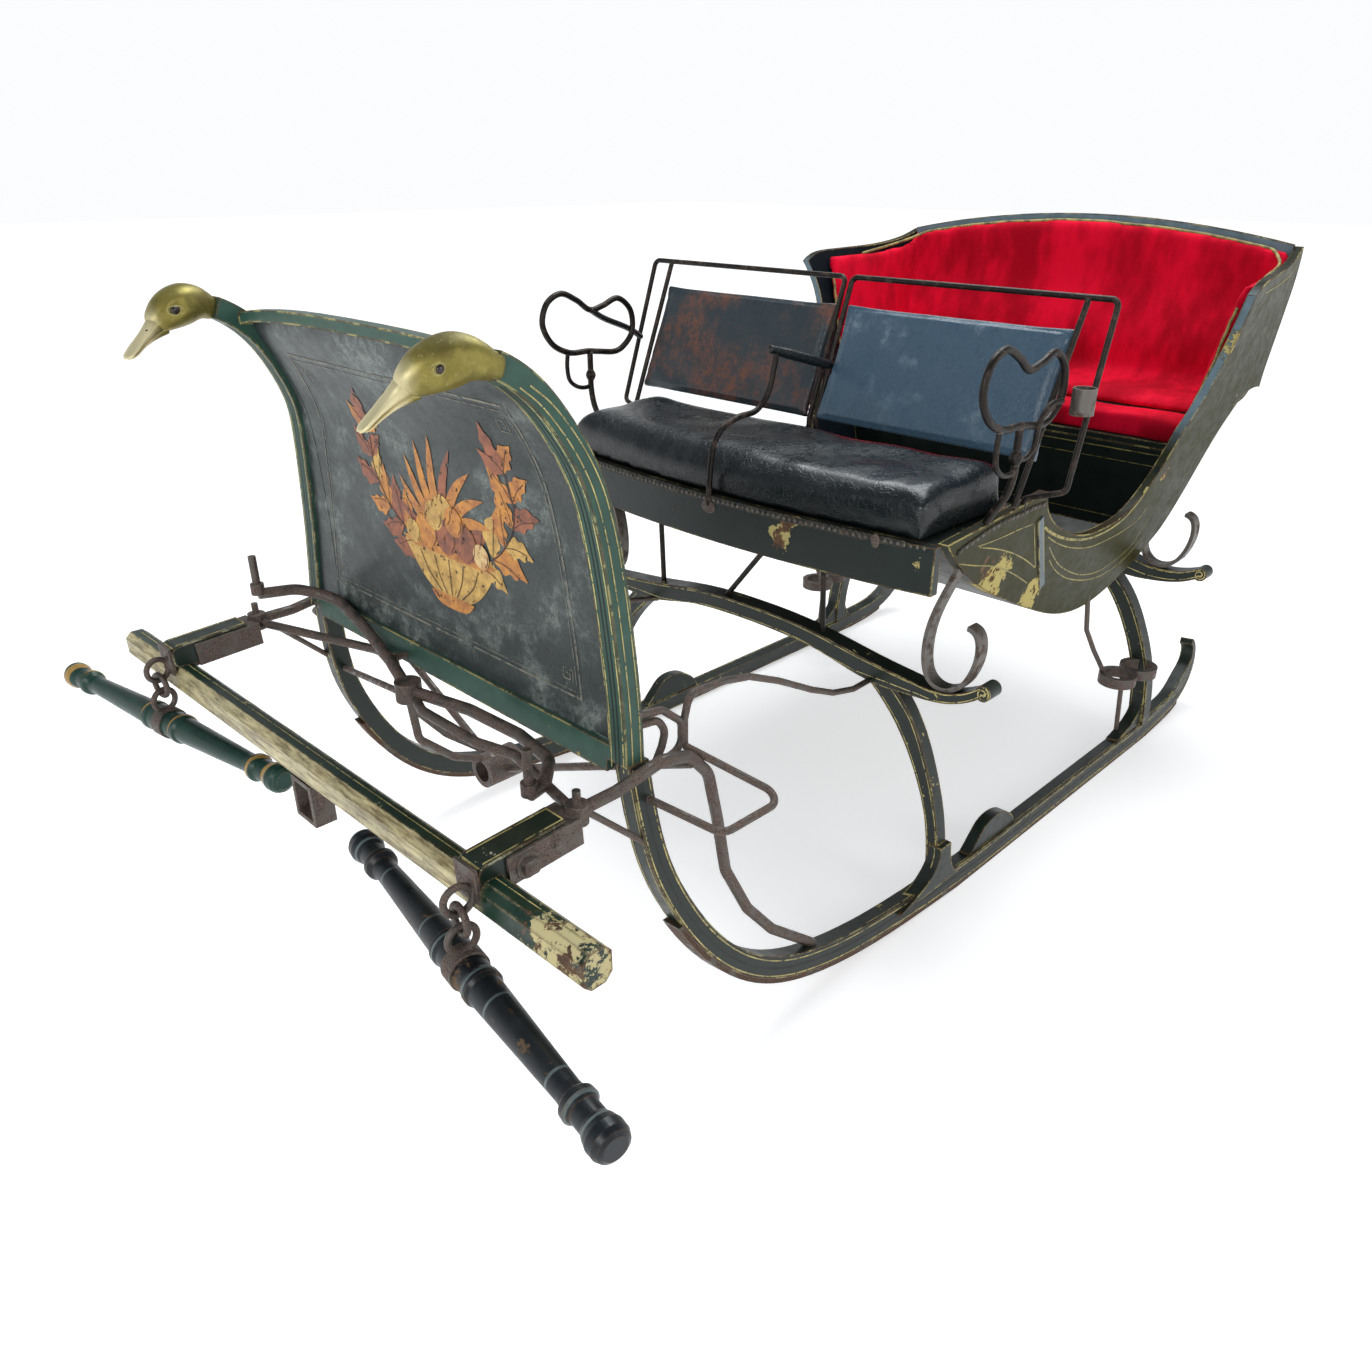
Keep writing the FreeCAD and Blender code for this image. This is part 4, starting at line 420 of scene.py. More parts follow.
# %% Metal finishes
def iron(name, dark, rusty, amount, shine, scale=45.0):
    """Forged iron: dark skin with patches of rust and a pitted surface."""
    t = Paint(name)
    rust, pit = t.group(rust_group, Scale=scale, Amount=amount).values()
    edge = t.group(wear_group, Reach=0.0025, Amount=0.6, Patch_Scale=60.0)["Edge"]
    powder = t.group(dust_group, Amount=0.2)["Dust"]
    skin = rust.mix(dark, pit.step(0.3, 0.7).mix(rusty, "35271f"))
    skin = (edge * 0.6).mix(skin, "8b8378")
    t.bump(0.45, 0.0009, pit + rust * 0.5)
    return t.paint(Base_Color=powder.mix(skin, "7d756a"),
                   Roughness=rust.step(0.0, 1.0, shine, 0.78),
                   Metallic=rust.step(0.0, 1.0, 0.75, 0.1))


finish["draft_iron"] = iron("rusty draft iron", "5d5650", "75635a", 0.6, 0.42)
finish["seat_iron"] = iron("black seat iron", "26221f", "4d3c31", 0.42, 0.38)
finish["grey_iron"] = iron("grey strap iron", "6a6560", "5f4b3c", 0.45, 0.42)
finish["shoe"] = iron("runner shoe steel", "57524b", "5d4029", 0.7, 0.4, 30.0)

t = Paint("aged gilt brass")
stain, speck = t.noise(16.0, 7.0, 0.62), t.noise(160.0, 3.0, 0.6)
gilt = stain.step(0.35, 0.7).mix("8f8440", "62592a")
gilt = speck.step(0.58, 0.76, 0.0, 0.35).mix(gilt, "c9bd7c")
edge = t.group(wear_group, Reach=0.003, Amount=0.8, Patch_Scale=50.0)["Edge"]
gilt = (edge * 0.5).mix(gilt, "d8cf95")
bill = (t.parts(t.place)[1] + stain * 0.03).step(-1.078, -1.103)
t.bump(0.25, 0.001, speck)
finish["brass"] = t.paint(Base_Color=(bill * 0.8).mix(gilt, "e6dab0"), Metallic=0.6,
                          Roughness=stain.step(0.3, 0.75, 0.36, 0.6))

# %% [markdown]
# ## Leather and velvet
# The seat's leather has creased into a net of fine cracks and is polished where people sat. It is
# black with a cold sheen; the dash's leather is the same, dusty and scuffed. Velvet is bright
# where its pile leans away from the eye and nearly black where it is pressed: the sheen does the
# first, and broad soft patches of pile direction, painted lighter and darker into the red as
# painted sheen and painted shade, do the second.

# %% Leather finish
craze_group = Group("leather creases", Scale=55.0, Stretch=(1.0, 1.0, 1.0))
scale, stretch = craze_group.given
drawn = craze_group.vector("MULTIPLY", craze_group.place, stretch)
wobble = craze_group.add("ShaderNodeTexNoise", {"Vector": drawn, "Scale": 22.0, "Detail": 4.0},
                         "Color")
moved = craze_group.vector("ADD", drawn, craze_group.vector("MULTIPLY", wobble, (0.05,) * 3))
cells = craze_group.add("ShaderNodeTexVoronoi", {"Vector": moved, "Scale": scale},
                        feature="DISTANCE_TO_EDGE")
craze_group.end(Crease=cells.step(0.0, 0.09, 1.0, 0.0), Grain=craze_group.noise(420.0, 3.0, 0.6))


def leather(name, dark, scuffed, scuffs, gloss, scale=55.0, stretch=(1, 1, 1), crease=0.5,
            crease_shade=0.4):
    """Old glossy leather: creases, pores, and scuffs where the finish has rubbed off; the creases
    are painted darker as shade.
    """
    t = Paint(name)
    net = t.group(craze_group, Scale=scale, Stretch=stretch)
    fine = t.group(craze_group, Scale=scale * 2.6, Stretch=stretch)["Crease"]
    rubbed = t.noise(7.0, 8.0, 0.68).step(0.66 - 0.3 * scuffs, 0.84 - 0.3 * scuffs)
    speckled = rubbed * t.noise(55.0, 6.0, 0.75).step(0.38, 0.62, 0.15, 1.0)
    dull = t.noise(24.0, 7.0, 0.7).step(0.3, 0.75, gloss, gloss + 0.24)
    t.bump(0.5, 0.0012, net["Crease"] * -crease + net["Grain"] * 0.18 + fine * (-0.4 * crease))
    # The creases are mixed towards near black: painted shade in them.
    return t.paint(Base_Color=(net["Crease"] * crease_shade).mix(speckled.mix(dark, scuffed), "050607"),
                   Roughness=t.maths("ADD", dull, speckled * 0.22, clamp=True),
                   Coat_Weight=0.22, Coat_Roughness=0.18, Specular_IOR_Level=0.4)


finish["seat_leather"] = leather("black seat leather", "11181a", "2b2f2c", 0.35, 0.2)
# The near backrest's leather is black; its blue-grey colours here are a painted reflection of the
# sky. Its creases and scuffs are its own.
finish["rest_leather"] = leather("blue-black backrest leather", "40586a", "8595a0", 0.45, 0.2,
                                 70.0, (1, 1, 0.5), 0.35, 0.12)
finish["brown_leather"] = leather("scuffed backrest leather", "2a363c", "704534", 0.75, 0.26,
                                  70.0, (1, 1, 0.5), 0.35, 0.12)
finish["dash_leather"] = leather("dusty dash leather", "2a3231", "76807b", 0.62, 0.34, 90.0,
                                 crease=0.3)

# %% Velvet finish
t = Paint("crimson velvet")
tall = t.vector("MULTIPLY", t.place, (1.0, 1.0, 0.45))
strokes, pile = t.noise(26.0, 4.0, 0.6, tall), t.noise(900.0, 2.0, 0.5)
pile_sheen_patches = t.noise(5.5, 5.0, 0.6, tall) * 0.7 + strokes * 0.3
# Broad patches of the pile are painted lighter and darker red: painted sheen and painted shade. The
# same patches also vary the roughness.
deep = pile_sheen_patches.step(0.38, 0.62).mix("980016", "e0002c")
t.bump(0.3, 0.0015, pile * 0.3 + strokes)
finish["velvet"] = t.paint(Base_Color=pile.step(0.35, 0.7, 0.0, 0.3).mix(deep, "e6103a"),
                           Roughness=pile_sheen_patches.step(0.35, 0.65, 0.95, 0.75),
                           Specular_IOR_Level=0.12, Sheen_Weight=0.3, Sheen_Roughness=0.42,
                           Sheen_Tint="ff3048")

# %% [markdown]
# ## The two singletrees
# They came from different sleighs: the right one is green with gilt rings round its turned
# beads, and the left one has lost its paint, down to a blue-black undercoat. The rings are bands
# at set distances from the middle of the bar, so their colour is a function of that distance.

# %% Singletree paints
LINK_X, LINK_Y, HALF, YAW = 0.472, -1.179, 0.352, math.radians(8.5)


def ring_bands(side, bands, coat, gilt):
    """Coat with gilt bands at given shares of the bar's half length from its link."""
    def colour(t):
        x, y, _ = t.parts(t.place)
        along = (x - side * LINK_X) * math.cos(YAW) + (y - LINK_Y) * -math.sin(YAW)
        reach = t.maths("ABSOLUTE", t.maths("DIVIDE", along, HALF))
        shown = coat
        for start, end in bands:
            inside = reach.step(start - 0.004, start) * reach.step(end + 0.004, end)
            shown = inside.mix(shown, gilt)
        return shown
    return colour


finish["right_bar"] = painted(
    "green singletree paint", ring_bands(
        -1, [(0.118, 0.132), (0.755, 0.775), (0.86, 0.90), (0.975, 1.0)], "123a30", "b08a45"),
    0.16, 0.55, 22.0, 0.12, 0.28, (0.2, 1, 1))
finish["left_bar"] = painted(
    "worn blue-black singletree", ring_bands(
        1, [(start, start + 0.008) for start in (0.120, 0.262, 0.66, 0.80, 0.90)],
        "0d151c", "5f6c6c"),
    0.64, 0.95, 20.0, 0.1, 0.3, (0.15, 1, 1), "5a4630",
    worn_at(((0.50, -1.19, 0.42), 0.09, 0.7), ((0.66, -1.22, 0.41), 0.08, 0.6)))

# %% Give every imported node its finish
STARTS = {
    "dash_frame": "dash_frame", "dash_leather": "dash_panel", "brass": "duck_head",
    "frame": "runner front_leg rear_leg front_bolster rear_bolster", "floor": "tub_floor",
    "tub": "tub_side tub_back", "board": "tub_bulkhead seat_front seat_deck rear_seat",
    "velvet": "tub_lining rear_cushion", "seat_leather": "driver_cushion",
    "rest_leather": "backrest_left", "brown_leather": "backrest_right", "crossbar": "crossbar",
    "block": "draft_block", "left_bar": "singletree_left", "right_bar": "singletree_right",
    "shoe": "shoe", "grey_iron": "whip front_body_iron rear_body_iron",
    "draft_iron": "singletree_clip draft_iron hook_bar nose_eye link pole passenger_step "
                  "driver_step",
}
for name, thing in nodes.items():
    key = next((key for key, starts in STARTS.items() if name.startswith(tuple(starts.split()))),
               "seat_iron")
    for slot in thing.material_slots:
        slot.material = finish[key]
    if not thing.material_slots:
        thing.data.materials.append(finish[key])
print("painted", len(nodes), "nodes")

# %% [markdown]
# ## Cushions, backrests and the velvet lining
# Each of these is leather or velvet over stuffing on a board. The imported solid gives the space
# it may fill. A copy of it is remeshed into even small faces, blown up a little as cloth with air
# pressure and no gravity, and its points are kept within 3 to 14 mm of where they began, so that
# the pad crowns between its corners but still fits between its neighbours.


# %% Smooth curves
def steps_along(line):
    """Distance from a line's first point to each of its points."""
    return np.concatenate([[0.0], np.cumsum(np.linalg.norm(np.diff(line, axis=0), axis=1))])


def smooth_line(points, count):
    """Cubic through the points, evenly spaced: p + t m + (3d - 2m - n) t^2 + (m + n - 2d) t^3."""
    points = np.asarray(points, float)
    knots = steps_along(points)
    slope = np.gradient(points, knots, axis=0)
    at = np.linspace(0.0, knots[-1], count)
    part = np.clip(np.searchsorted(knots, at, side="right") - 1, 0, len(knots) - 2)
    width = (knots[part + 1] - knots[part])[:, None]
    t = (at - knots[part])[:, None] / width
    m, n, d = slope[part] * width, slope[part + 1] * width, points[part + 1] - points[part]
    return points[part] + t * m + (3 * d - 2 * m - n) * t ** 2 + (m + n - 2 * d) * t ** 3


def row(points):
    """Points in millimetres, measured from the front bolster's side, as metres in the frame."""
    return (np.asarray(points, float) + (0.0, 37.0, 0.0)) / 1000.0


def unit(vectors):
    """Vectors brought to length 1."""
    return vectors / np.maximum(np.linalg.norm(vectors, axis=-1, keepdims=True), 1e-9)


def hill(*terms):
    """Smooth hill of height 1: exp(-sum (distance / reach)^2)."""
    return np.exp(-sum((distance / reach) ** 2 for distance, reach in terms))


def ripple(points, size, seed):
    """Smooth value from about -1 to 1 at each point: a sum of sines with turned directions."""
    rng = np.random.default_rng(seed)
    total = np.zeros(len(points))
    for _ in range(9):
        direction = unit(rng.normal(size=3))
        wave = rng.uniform(0.6, 1.6) * 2 * np.pi / size
        total += np.sin(points @ direction * wave + rng.uniform(0, 6.3))
    return total / 4.0


# %% Points of meshes
def corners(mesh):
    """All points of a mesh as an array of rows."""
    flat = np.empty(len(mesh.vertices) * 3)
    mesh.vertices.foreach_get("co", flat)
    return flat.reshape(-1, 3)


def put_corners(mesh, points):
    """Write an array of rows back as the points of a mesh."""
    mesh.vertices.foreach_set("co", points.reshape(-1))
    mesh.update()


def normals_of(mesh):
    """Outward direction at each point of a mesh."""
    flat = np.empty(len(mesh.vertices) * 3)
    mesh.vertex_normals.foreach_get("vector", flat)
    return flat.reshape(-1, 3)


def sealed(mesh, gap=1e-6, outwards=True):
    """Merge a mesh's doubled points, and turn its faces outwards."""
    shell = bmesh.new()
    shell.from_mesh(mesh)
    if gap:
        bmesh.ops.remove_doubles(shell, verts=shell.verts, dist=gap)
    if outwards:
        bmesh.ops.recalc_face_normals(shell, faces=shell.faces)
    shell.to_mesh(mesh)
    shell.free()
    return mesh


def welded(node):
    """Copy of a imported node's mesh with its loose triangles merged."""
    mesh = nodes[node].data.copy()
    mesh.materials.clear()
    return sealed(mesh, 1e-5, False)


# %% Pads blown up as cloth
def baked(thing):
    """Apply all modifiers of an object to its mesh."""
    graph = bpy.context.evaluated_depsgraph_get()
    mesh = bpy.data.meshes.new_from_object(thing.evaluated_get(graph))
    thing.modifiers.clear()
    thing.data = mesh
    return mesh


def padded_form(name, node, voxel, shrink, cap, pressure):
    """Remesh a node's copy, pull it in along its normals, and let cloth pressure swell it."""
    thing = stood(name, welded(node))
    remesh = thing.modifiers.new("even faces", "REMESH")
    remesh.mode = "VOXEL"
    remesh.voxel_size = voxel
    mesh = baked(thing)
    start = corners(mesh) - normals_of(mesh) * shrink
    put_corners(mesh, start)
    cloth = thing.modifiers.new("cloth", "CLOTH").settings
    cloth.quality = 4
    cloth.tension_stiffness = 18.0
    cloth.compression_stiffness = 12.0
    cloth.bending_stiffness = 0.6
    cloth.use_pressure = True
    cloth.uniform_pressure_force = pressure * 0.7
    cloth.effector_weights.gravity = 0.0
    for number in range(1, 21):
        scene.frame_set(number)
    mesh = baked(thing)
    scene.frame_set(1)
    move = corners(mesh) - start
    length = np.linalg.norm(move, axis=1, keepdims=True)
    put_corners(mesh, start + move * np.minimum(1.0, cap / np.maximum(length, 1e-9)))
    return thing


def softened(mesh, rounds, firm=None):
    """Smooth a form: each point moves half way to its neighbours' mean, less where it is firm."""
    start = corners(mesh)
    count = len(start)
    ends = np.zeros(len(mesh.edges) * 2, int)
    mesh.edges.foreach_get("vertices", ends)
    first, second = ends[::2], ends[1::2]
    near = np.maximum(np.bincount(first, minlength=count) + np.bincount(second, minlength=count), 1)
    points = start.copy()
    for _ in range(rounds):
        total = np.column_stack([np.bincount(first, points[second, k], count)
                                 + np.bincount(second, points[first, k], count) for k in range(3)])
        points = points * 0.5 + total / near[:, None] * 0.5
    share = 1.0 if firm is None else (1 - firm)[:, None]
    put_corners(mesh, start + (points - start) * share)


def finished_pad(thing, points, material, node, levels=1):
    """Last points, material and subdivision; the pad rides on the sleigh and its node is hidden."""
    put_corners(thing.data, points)
    thing.data.materials.clear()
    thing.data.materials.append(material)
    thing.data.polygons.foreach_set("use_smooth", np.ones(len(thing.data.polygons), bool))
    if levels:
        soft = thing.modifiers.new("soft", "SUBSURF")
        soft.levels = soft.render_levels = levels
    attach(thing, "sleigh")
    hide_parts(node)


def measured(mesh, node):
    """Points of a pad, the ends of its packed box, and each point's share of the box's height."""
    points = corners(mesh)
    low, high = (np.array(corner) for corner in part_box(node))
    return points, low, high, np.clip((points[:, 2] - low[2]) / (high[2] - low[2]), 0, 1)


# %% The driver's leather cushion
seat = padded_form("driver_seat_leather", "driver_cushion", 0.008, 0.004, 0.014, 5.0)
_, low, high, up = measured(seat.data, "driver_cushion")
softened(seat.data, 22, np.clip(1 - (up - 0.15) / 0.35, 0, 1))
points = corners(seat.data)
sag = sum(hill((points[:, 0] - x, 0.17), (points[:, 1] + 0.07, 0.13)) for x in (-0.25, 0.25))
points[:, 2] -= up * (0.010 * sag + 0.0022 * ripple(points, 0.16, 3))
front = np.clip(-points[:, 1] * 6 - 0.4, 0, 1)
points[:, 2] -= up * 0.0011 * np.sin(points[:, 0] * 70 + 3 * ripple(points, 0.3, 5)) * front
points[:, 2] = np.maximum(points[:, 2], low[2] + 0.0004)
points[:, 1] = np.maximum(points[:, 1], low[1] + 0.001)
finished_pad(seat, points, finish["seat_leather"], "driver_cushion")

# %% The two leather backrests
lean = unit(np.array([0.0, 0.096, 0.232]))
outward = np.array([0.0, -lean[2], lean[1]])
for side, finish_name in (("left", "rest_leather"), ("right", "brown_leather")):
    rest = padded_form(f"backrest_leather_{side}", f"backrest_{side}", 0.0055, 0.002, 0.005, 3.0)
    softened(rest.data, 2)
    points, low, high, _ = measured(rest.data, f"backrest_{side}")
    tall = (points - low) @ lean
    top = ((high - low) * (0, 1, 1)) @ lean
    inset = np.minimum.reduce([points[:, 0] - low[0], high[0] - points[:, 0], tall, top - tall])
    swell = (0.002 * np.clip(inset / 0.08, 0, 1) ** 0.5 - 0.0028 * hill((inset - 0.020, 0.0035))
             + 0.0012 * ripple(points, 0.12, 8))
    points += outward * (np.sign(normals_of(rest.data) @ outward) * swell)[:, None]
    finished_pad(rest, points, finish[finish_name], f"backrest_{side}")

# %% Velvet seat and linings
bench = padded_form("rear_seat_velvet", "rear_cushion", 0.008, 0.004, 0.010, 5.0)
softened(bench.data, 8)
points, low, high, up = measured(bench.data, "rear_cushion")
points[:, 2] -= up * 0.003 * ripple(points, 0.2, 4)
points[:, 2] = np.maximum(points[:, 2], low[2] + 0.0004)
finished_pad(bench, points, finish["velvet"], "rear_cushion")

cover = padded_form("tub_velvet", "tub_lining", 0.010, 0.0012, 0.003, 1.5)
softened(cover.data, 2)
points, away = corners(cover.data), normals_of(cover.data)
points[:, 1] -= 0.040 * np.clip((0.99 - points[:, 1]) / 0.10, 0, 1)
points += away * (0.0011 * ripple(points * (1, 1, 0.35), 0.09, 6))[:, None]
finished_pad(cover, points, finish["velvet"], "tub_lining", 0)
print("pads ready")

# %% [markdown]
# ## The bird heads
# Two gilt duck heads end the dash's stiles. A head is a tube whose cross-section changes along a
# bent line, which is a grid of rings: the ring's centre, half width and half height come from a
# short table, made smooth between its rows. Two flat tubes of the same kind are the upper and
# lower bill, with a dark slit between them. Eyes, lids and nostrils are small pieces on top.


# %% Rings along a bent line
def circle(count, power=2.0):
    """Cosine and sine of even angles, each to the power 2 / p, which squares the circle."""
    angle = np.linspace(0, 2 * np.pi, count, endpoint=False)
    return [np.sign(v) * np.abs(v) ** (2.0 / power) for v in (np.cos(angle), np.sin(angle))]


def closed_bar(name, rings):
    """Closed mesh of a grid of rings, with both ends capped."""
    first, last = (end.mean(1, keepdims=True).repeat(rings.shape[1], 1)
                   for end in (rings[:1], rings[-1:]))
    return sealed(grid_mesh(name, np.concatenate([first, rings, last]), closed_v=True))


def lofted(name, table, count, around, power):
    """Closed tube: ring k is centre + half width * cos^(2/p) + half height * sin^(2/p)."""
    rows = smooth_line(table, count)
    cosine, sine = circle(around, power)
    along = unit(np.gradient(rows[:, :3], axis=0))
    across = unit(np.cross(along, (0.0, 0.0, 1.0)))
    return closed_bar(name, rows[:, None, :3]
                      + across[:, None] * (rows[:, 3:4] * cosine)[..., None]
                      + np.cross(across, along)[:, None] * (rows[:, 4:5] * sine)[..., None])


def bead(name, centre, radii, turn=0.0):
    """Closed ellipsoid: centre + radii * (cos v cos u, cos v sin u, sin v), turned about Z."""
    v = np.linspace(-np.pi / 2, np.pi / 2, 10)[:, None]
    u = np.linspace(0, 2 * np.pi, 18, endpoint=False)[None]
    ball = np.stack([np.cos(v) * np.cos(u), np.cos(v) * np.sin(u), np.sin(v) + 0 * u], -1) * radii
    c, s = math.cos(turn), math.sin(turn)
    ball = ball @ np.array([[c, s, 0], [-s, c, 0], [0, 0, 1]])
    return sealed(grid_mesh(name, ball + np.asarray(centre), closed_v=True), 1e-7)


def joined(name, meshes):
    """One mesh of several; those given as (number, mesh) get that material number, others 0."""
    points, faces, kinds, start = [], [], [], 0
    for item in meshes:
        number, mesh = item if isinstance(item, tuple) else (0, item)
        points.append(corners(mesh))
        faces += [[v + start for v in face.vertices] for face in mesh.polygons]
        kinds += [number] * len(mesh.polygons)
        start += len(mesh.vertices)
    whole = bpy.data.meshes.new(name)
    whole.from_pydata(np.vstack(points).tolist(), [], faces)
    whole.polygons.foreach_set("material_index", kinds)
    return whole


def mirrored(mesh):
    """Copy of a mesh on the other side of the middle, with its faces turned back outwards."""
    twin = mesh.copy()
    put_corners(twin, corners(twin) * (-1, 1, 1))
    twin.flip_normals()
    return twin


# %% Tables of the head
HEAD_X, NECK_Y, NECK_Z = 0.379, -0.996, 1.185
LENGTH, HEIGHT = 0.160, 0.060


def head_rows(table):
    """Table shares as metres: X offset, Y ahead of the neck, Z, half width, half height."""
    start = (HEAD_X, NECK_Y, NECK_Z, 0, 0)
    return start + np.array(table) * (LENGTH, -LENGTH, HEIGHT, LENGTH, HEIGHT)


skull_table = [(0.0, -0.03, 0.03, 0.100, 0.27), (-0.01, 0.04, 0.08, 0.115, 0.30),
               (-0.025, 0.12, 0.17, 0.140, 0.37), (-0.05, 0.21, 0.24, 0.168, 0.45),
               (-0.07, 0.30, 0.25, 0.188, 0.50), (-0.095, 0.40, 0.19, 0.192, 0.50),
               (-0.125, 0.50, 0.09, 0.175, 0.455), (-0.15, 0.585, -0.03, 0.148, 0.37),
               (-0.17, 0.65, -0.13, 0.115, 0.27), (-0.18, 0.69, -0.20, 0.070, 0.16)]
upper_table = [(-0.165, 0.58, -0.06, 0.085, 0.26), (-0.18, 0.66, -0.18, 0.088, 0.21),
               (-0.20, 0.76, -0.36, 0.078, 0.130), (-0.215, 0.85, -0.54, 0.080, 0.085),
               (-0.232, 0.93, -0.72, 0.084, 0.062), (-0.243, 0.985, -0.85, 0.070, 0.048),
               (-0.247, 1.005, -0.90, 0.030, 0.028)]
lower_table = [(-0.165, 0.57, -0.30, 0.070, 0.14), (-0.18, 0.66, -0.40, 0.070, 0.10),
               (-0.20, 0.76, -0.535, 0.062, 0.062), (-0.215, 0.85, -0.68, 0.062, 0.045),
               (-0.23, 0.92, -0.82, 0.060, 0.035), (-0.238, 0.96, -0.90, 0.030, 0.022)]

# %% Carve a head
skull = lofted("skull", head_rows(skull_table), 44, 40, 2.15)
points, rows = corners(skull), head_rows(skull_table)
share = (NECK_Y - points[:, 1]) / LENGTH
middle, level = (np.interp(share, np.array(skull_table)[:, 1], rows[:, k]) for k in (0, 2))
high = points[:, 2] - level
socket = hill((share - 0.47, 0.085), (high - 0.006, 0.011))
brow = hill((share - 0.44, 0.16), (high - 0.020, 0.008))
cheek = hill((share - 0.40, 0.14), (high + 0.012, 0.012))
points[:, 0] += np.sign(points[:, 0] - middle) * (-0.0042 * socket + 0.0022 * brow + 0.0028 * cheek)
put_corners(skull, points)
upper = lofted("upper bill", head_rows(upper_table), 26, 28, 2.4)
points = corners(upper)
ridge = np.interp(points[:, 1], [NECK_Y - LENGTH, NECK_Y - 0.6 * LENGTH],
                  [HEAD_X - 0.0395, HEAD_X - 0.0270])
points[:, 2] += 0.0012 * hill((points[:, 0] - ridge, 0.0035))
put_corners(upper, points)

pieces_of_head = [skull, upper, lofted("lower bill", head_rows(lower_table), 22, 24, 2.2)]
eye_y, eye_z = NECK_Y - 0.475 * LENGTH, NECK_Z + 0.16 * HEIGHT
for sign in (1, -1):
    eye_x = HEAD_X - 0.118 * LENGTH + sign * 0.0255
    c, s = circle(24)
    rim = np.stack([0 * c + eye_x + 0.0004 * sign, eye_y + 0.0112 * c, eye_z + 0.0062 * s], -1)
    spokes = np.stack([0 * c, c, s], -1)[:, None]
    c, s = (value[None, :, None] for value in circle(8))
    grid = rim[:, None] + 0.0013 * (c * spokes + s * np.array([1.0, 0, 0]))
    pieces_of_head += [
        (1, bead("eye", (eye_x, eye_y, eye_z), (0.0040, 0.0082, 0.0066), 0.25 * sign)),
        sealed(grid_mesh("lid", grid, closed_u=True, closed_v=True), 0),
        (1, bead("nostril", (HEAD_X - 0.198 * LENGTH + sign * 0.0088, NECK_Y - 0.755 * LENGTH,
                             NECK_Z - 0.265 * HEIGHT), (0.0014, 0.0045, 0.0016)))]
t = Paint("dark eye glaze")
dark_eye = t.paint(Base_Color=t.noise(300.0).mix("15120f", "3a2f28"),
                   Roughness=t.noise(500.0).step(0.3, 0.7, 0.12, 0.3))
head = joined("duck_head_gilt_left", pieces_of_head)
for name, mesh, node in (("duck_head_gilt_left", head, "duck_head_left"),
                         ("duck_head_gilt_right", mirrored(head), "duck_head_right")):
    piece(name, mesh, "brass", finish["brass"], dark_eye, hides=node)

# %% [markdown]
# ## Lines of paint
# A coach painter draws thin cream lines with a long brush. Here each line is a flat ribbon half a
# millimetre proud of the wood: a path, two edges half a width to each side, and every point slid
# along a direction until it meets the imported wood. Where a line follows a bent bar, its path is
# the bar's own curve; where it follows nothing but the painter's hand, it is given as it is seen
# from the camera, and rays from the camera carry it to the wood.


# %% Rays and ribbons
def search_tree(name):
    """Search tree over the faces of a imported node, for laying trim on it."""
    mesh = nodes[name].data
    mesh.calc_loop_triangles()
    found = np.empty(len(mesh.loop_triangles) * 3, np.int32)
    mesh.loop_triangles.foreach_get("vertices", found)
    return BVHTree.FromPolygons(corners(mesh).tolist(), found.reshape(-1, 3).tolist())


def laid(tree, points, direction, lift=0.0005, reach=0.06):
    """Points slid along their directions until they meet the faces, then lifted off them."""
    flat = np.asarray(points, float).reshape(-1, 3)
    ways = np.asarray(direction, float)
    ways = ways[:, None] if ways.ndim == 2 else ways
    ways = unit(np.broadcast_to(ways, np.shape(points)).reshape(-1, 3))
    hits = [tree.ray_cast(Vector(p - w * reach), Vector(w), 2 * reach)[0]
            for p, w in zip(flat, ways)]
    met = np.array([tuple(hit) if hit else tuple(p) for hit, p in zip(hits, flat)])
    return (met - ways * lift).reshape(np.shape(points))


def edges_of(line, outward, width):
    """Both edges of a ribbon: line +- width / 2 across, at right angles to way and outward."""
    across = unit(np.cross(np.gradient(line, axis=0), outward))
    return np.stack([line + across * width / 2, line - across * width / 2], 1)


def stripe(tree, line, way, width, lift=0.0005, reach=0.06):
    """Ribbon of a width along a line, laid on the faces that its way meets."""
    return laid(tree, edges_of(line, -np.asarray(way, float), width), way, lift, reach)


def caught(strip, axis, limit, least=4):
    """The part of a ribbon that met the wood, as a list of one ribbon or none."""
    strip = strip[(strip[:, :, axis] < limit).all(1)]
    return [strip] if len(strip) > least else []


def both_ways(strips):
    """The strips and their mirrored twins."""
    return strips + [(strip * (-1, 1, 1))[:, ::-1] for strip in strips]


def ribbons_mesh(name, strips):
    """One mesh of many ribbons, each an array (length, columns, 3)."""
    return joined(name, [grid_mesh(name, strip) for strip in strips])


# %% Lines as seen from the camera
PHOTO_WIDTH = 1372.0
view_turn, view_place = np.array(camera.rotation_euler.to_matrix()), Vector(camera.location)


def seen(tree, pixels, count):
    """Points and outward normals where rays through a line of picture points meet the faces."""
    share = smooth_line(pixels, count) / PHOTO_WIDTH - 0.5
    share = share * SENSOR / LENS
    rays = np.column_stack([share[:, 0], -share[:, 1], -np.ones(count)]) @ view_turn.T
    hits = [tree.ray_cast(view_place, Vector(ray).normalized(), 8.0) for ray in rays]
    return (np.array([tuple(hit[k]) for hit in hits if hit[0]]) for k in (0, 1))


def pixel_ribbon(tree, pixels, width, count=50, lift=0.0006):
    """Ribbon through picture points on the faces."""
    line, outward = seen(tree, pixels, count)
    keep = np.diff(steps_along(line), prepend=0) < 0.08
    return edges_of(line[keep], outward[keep], width) + outward[keep][:, None] * lift


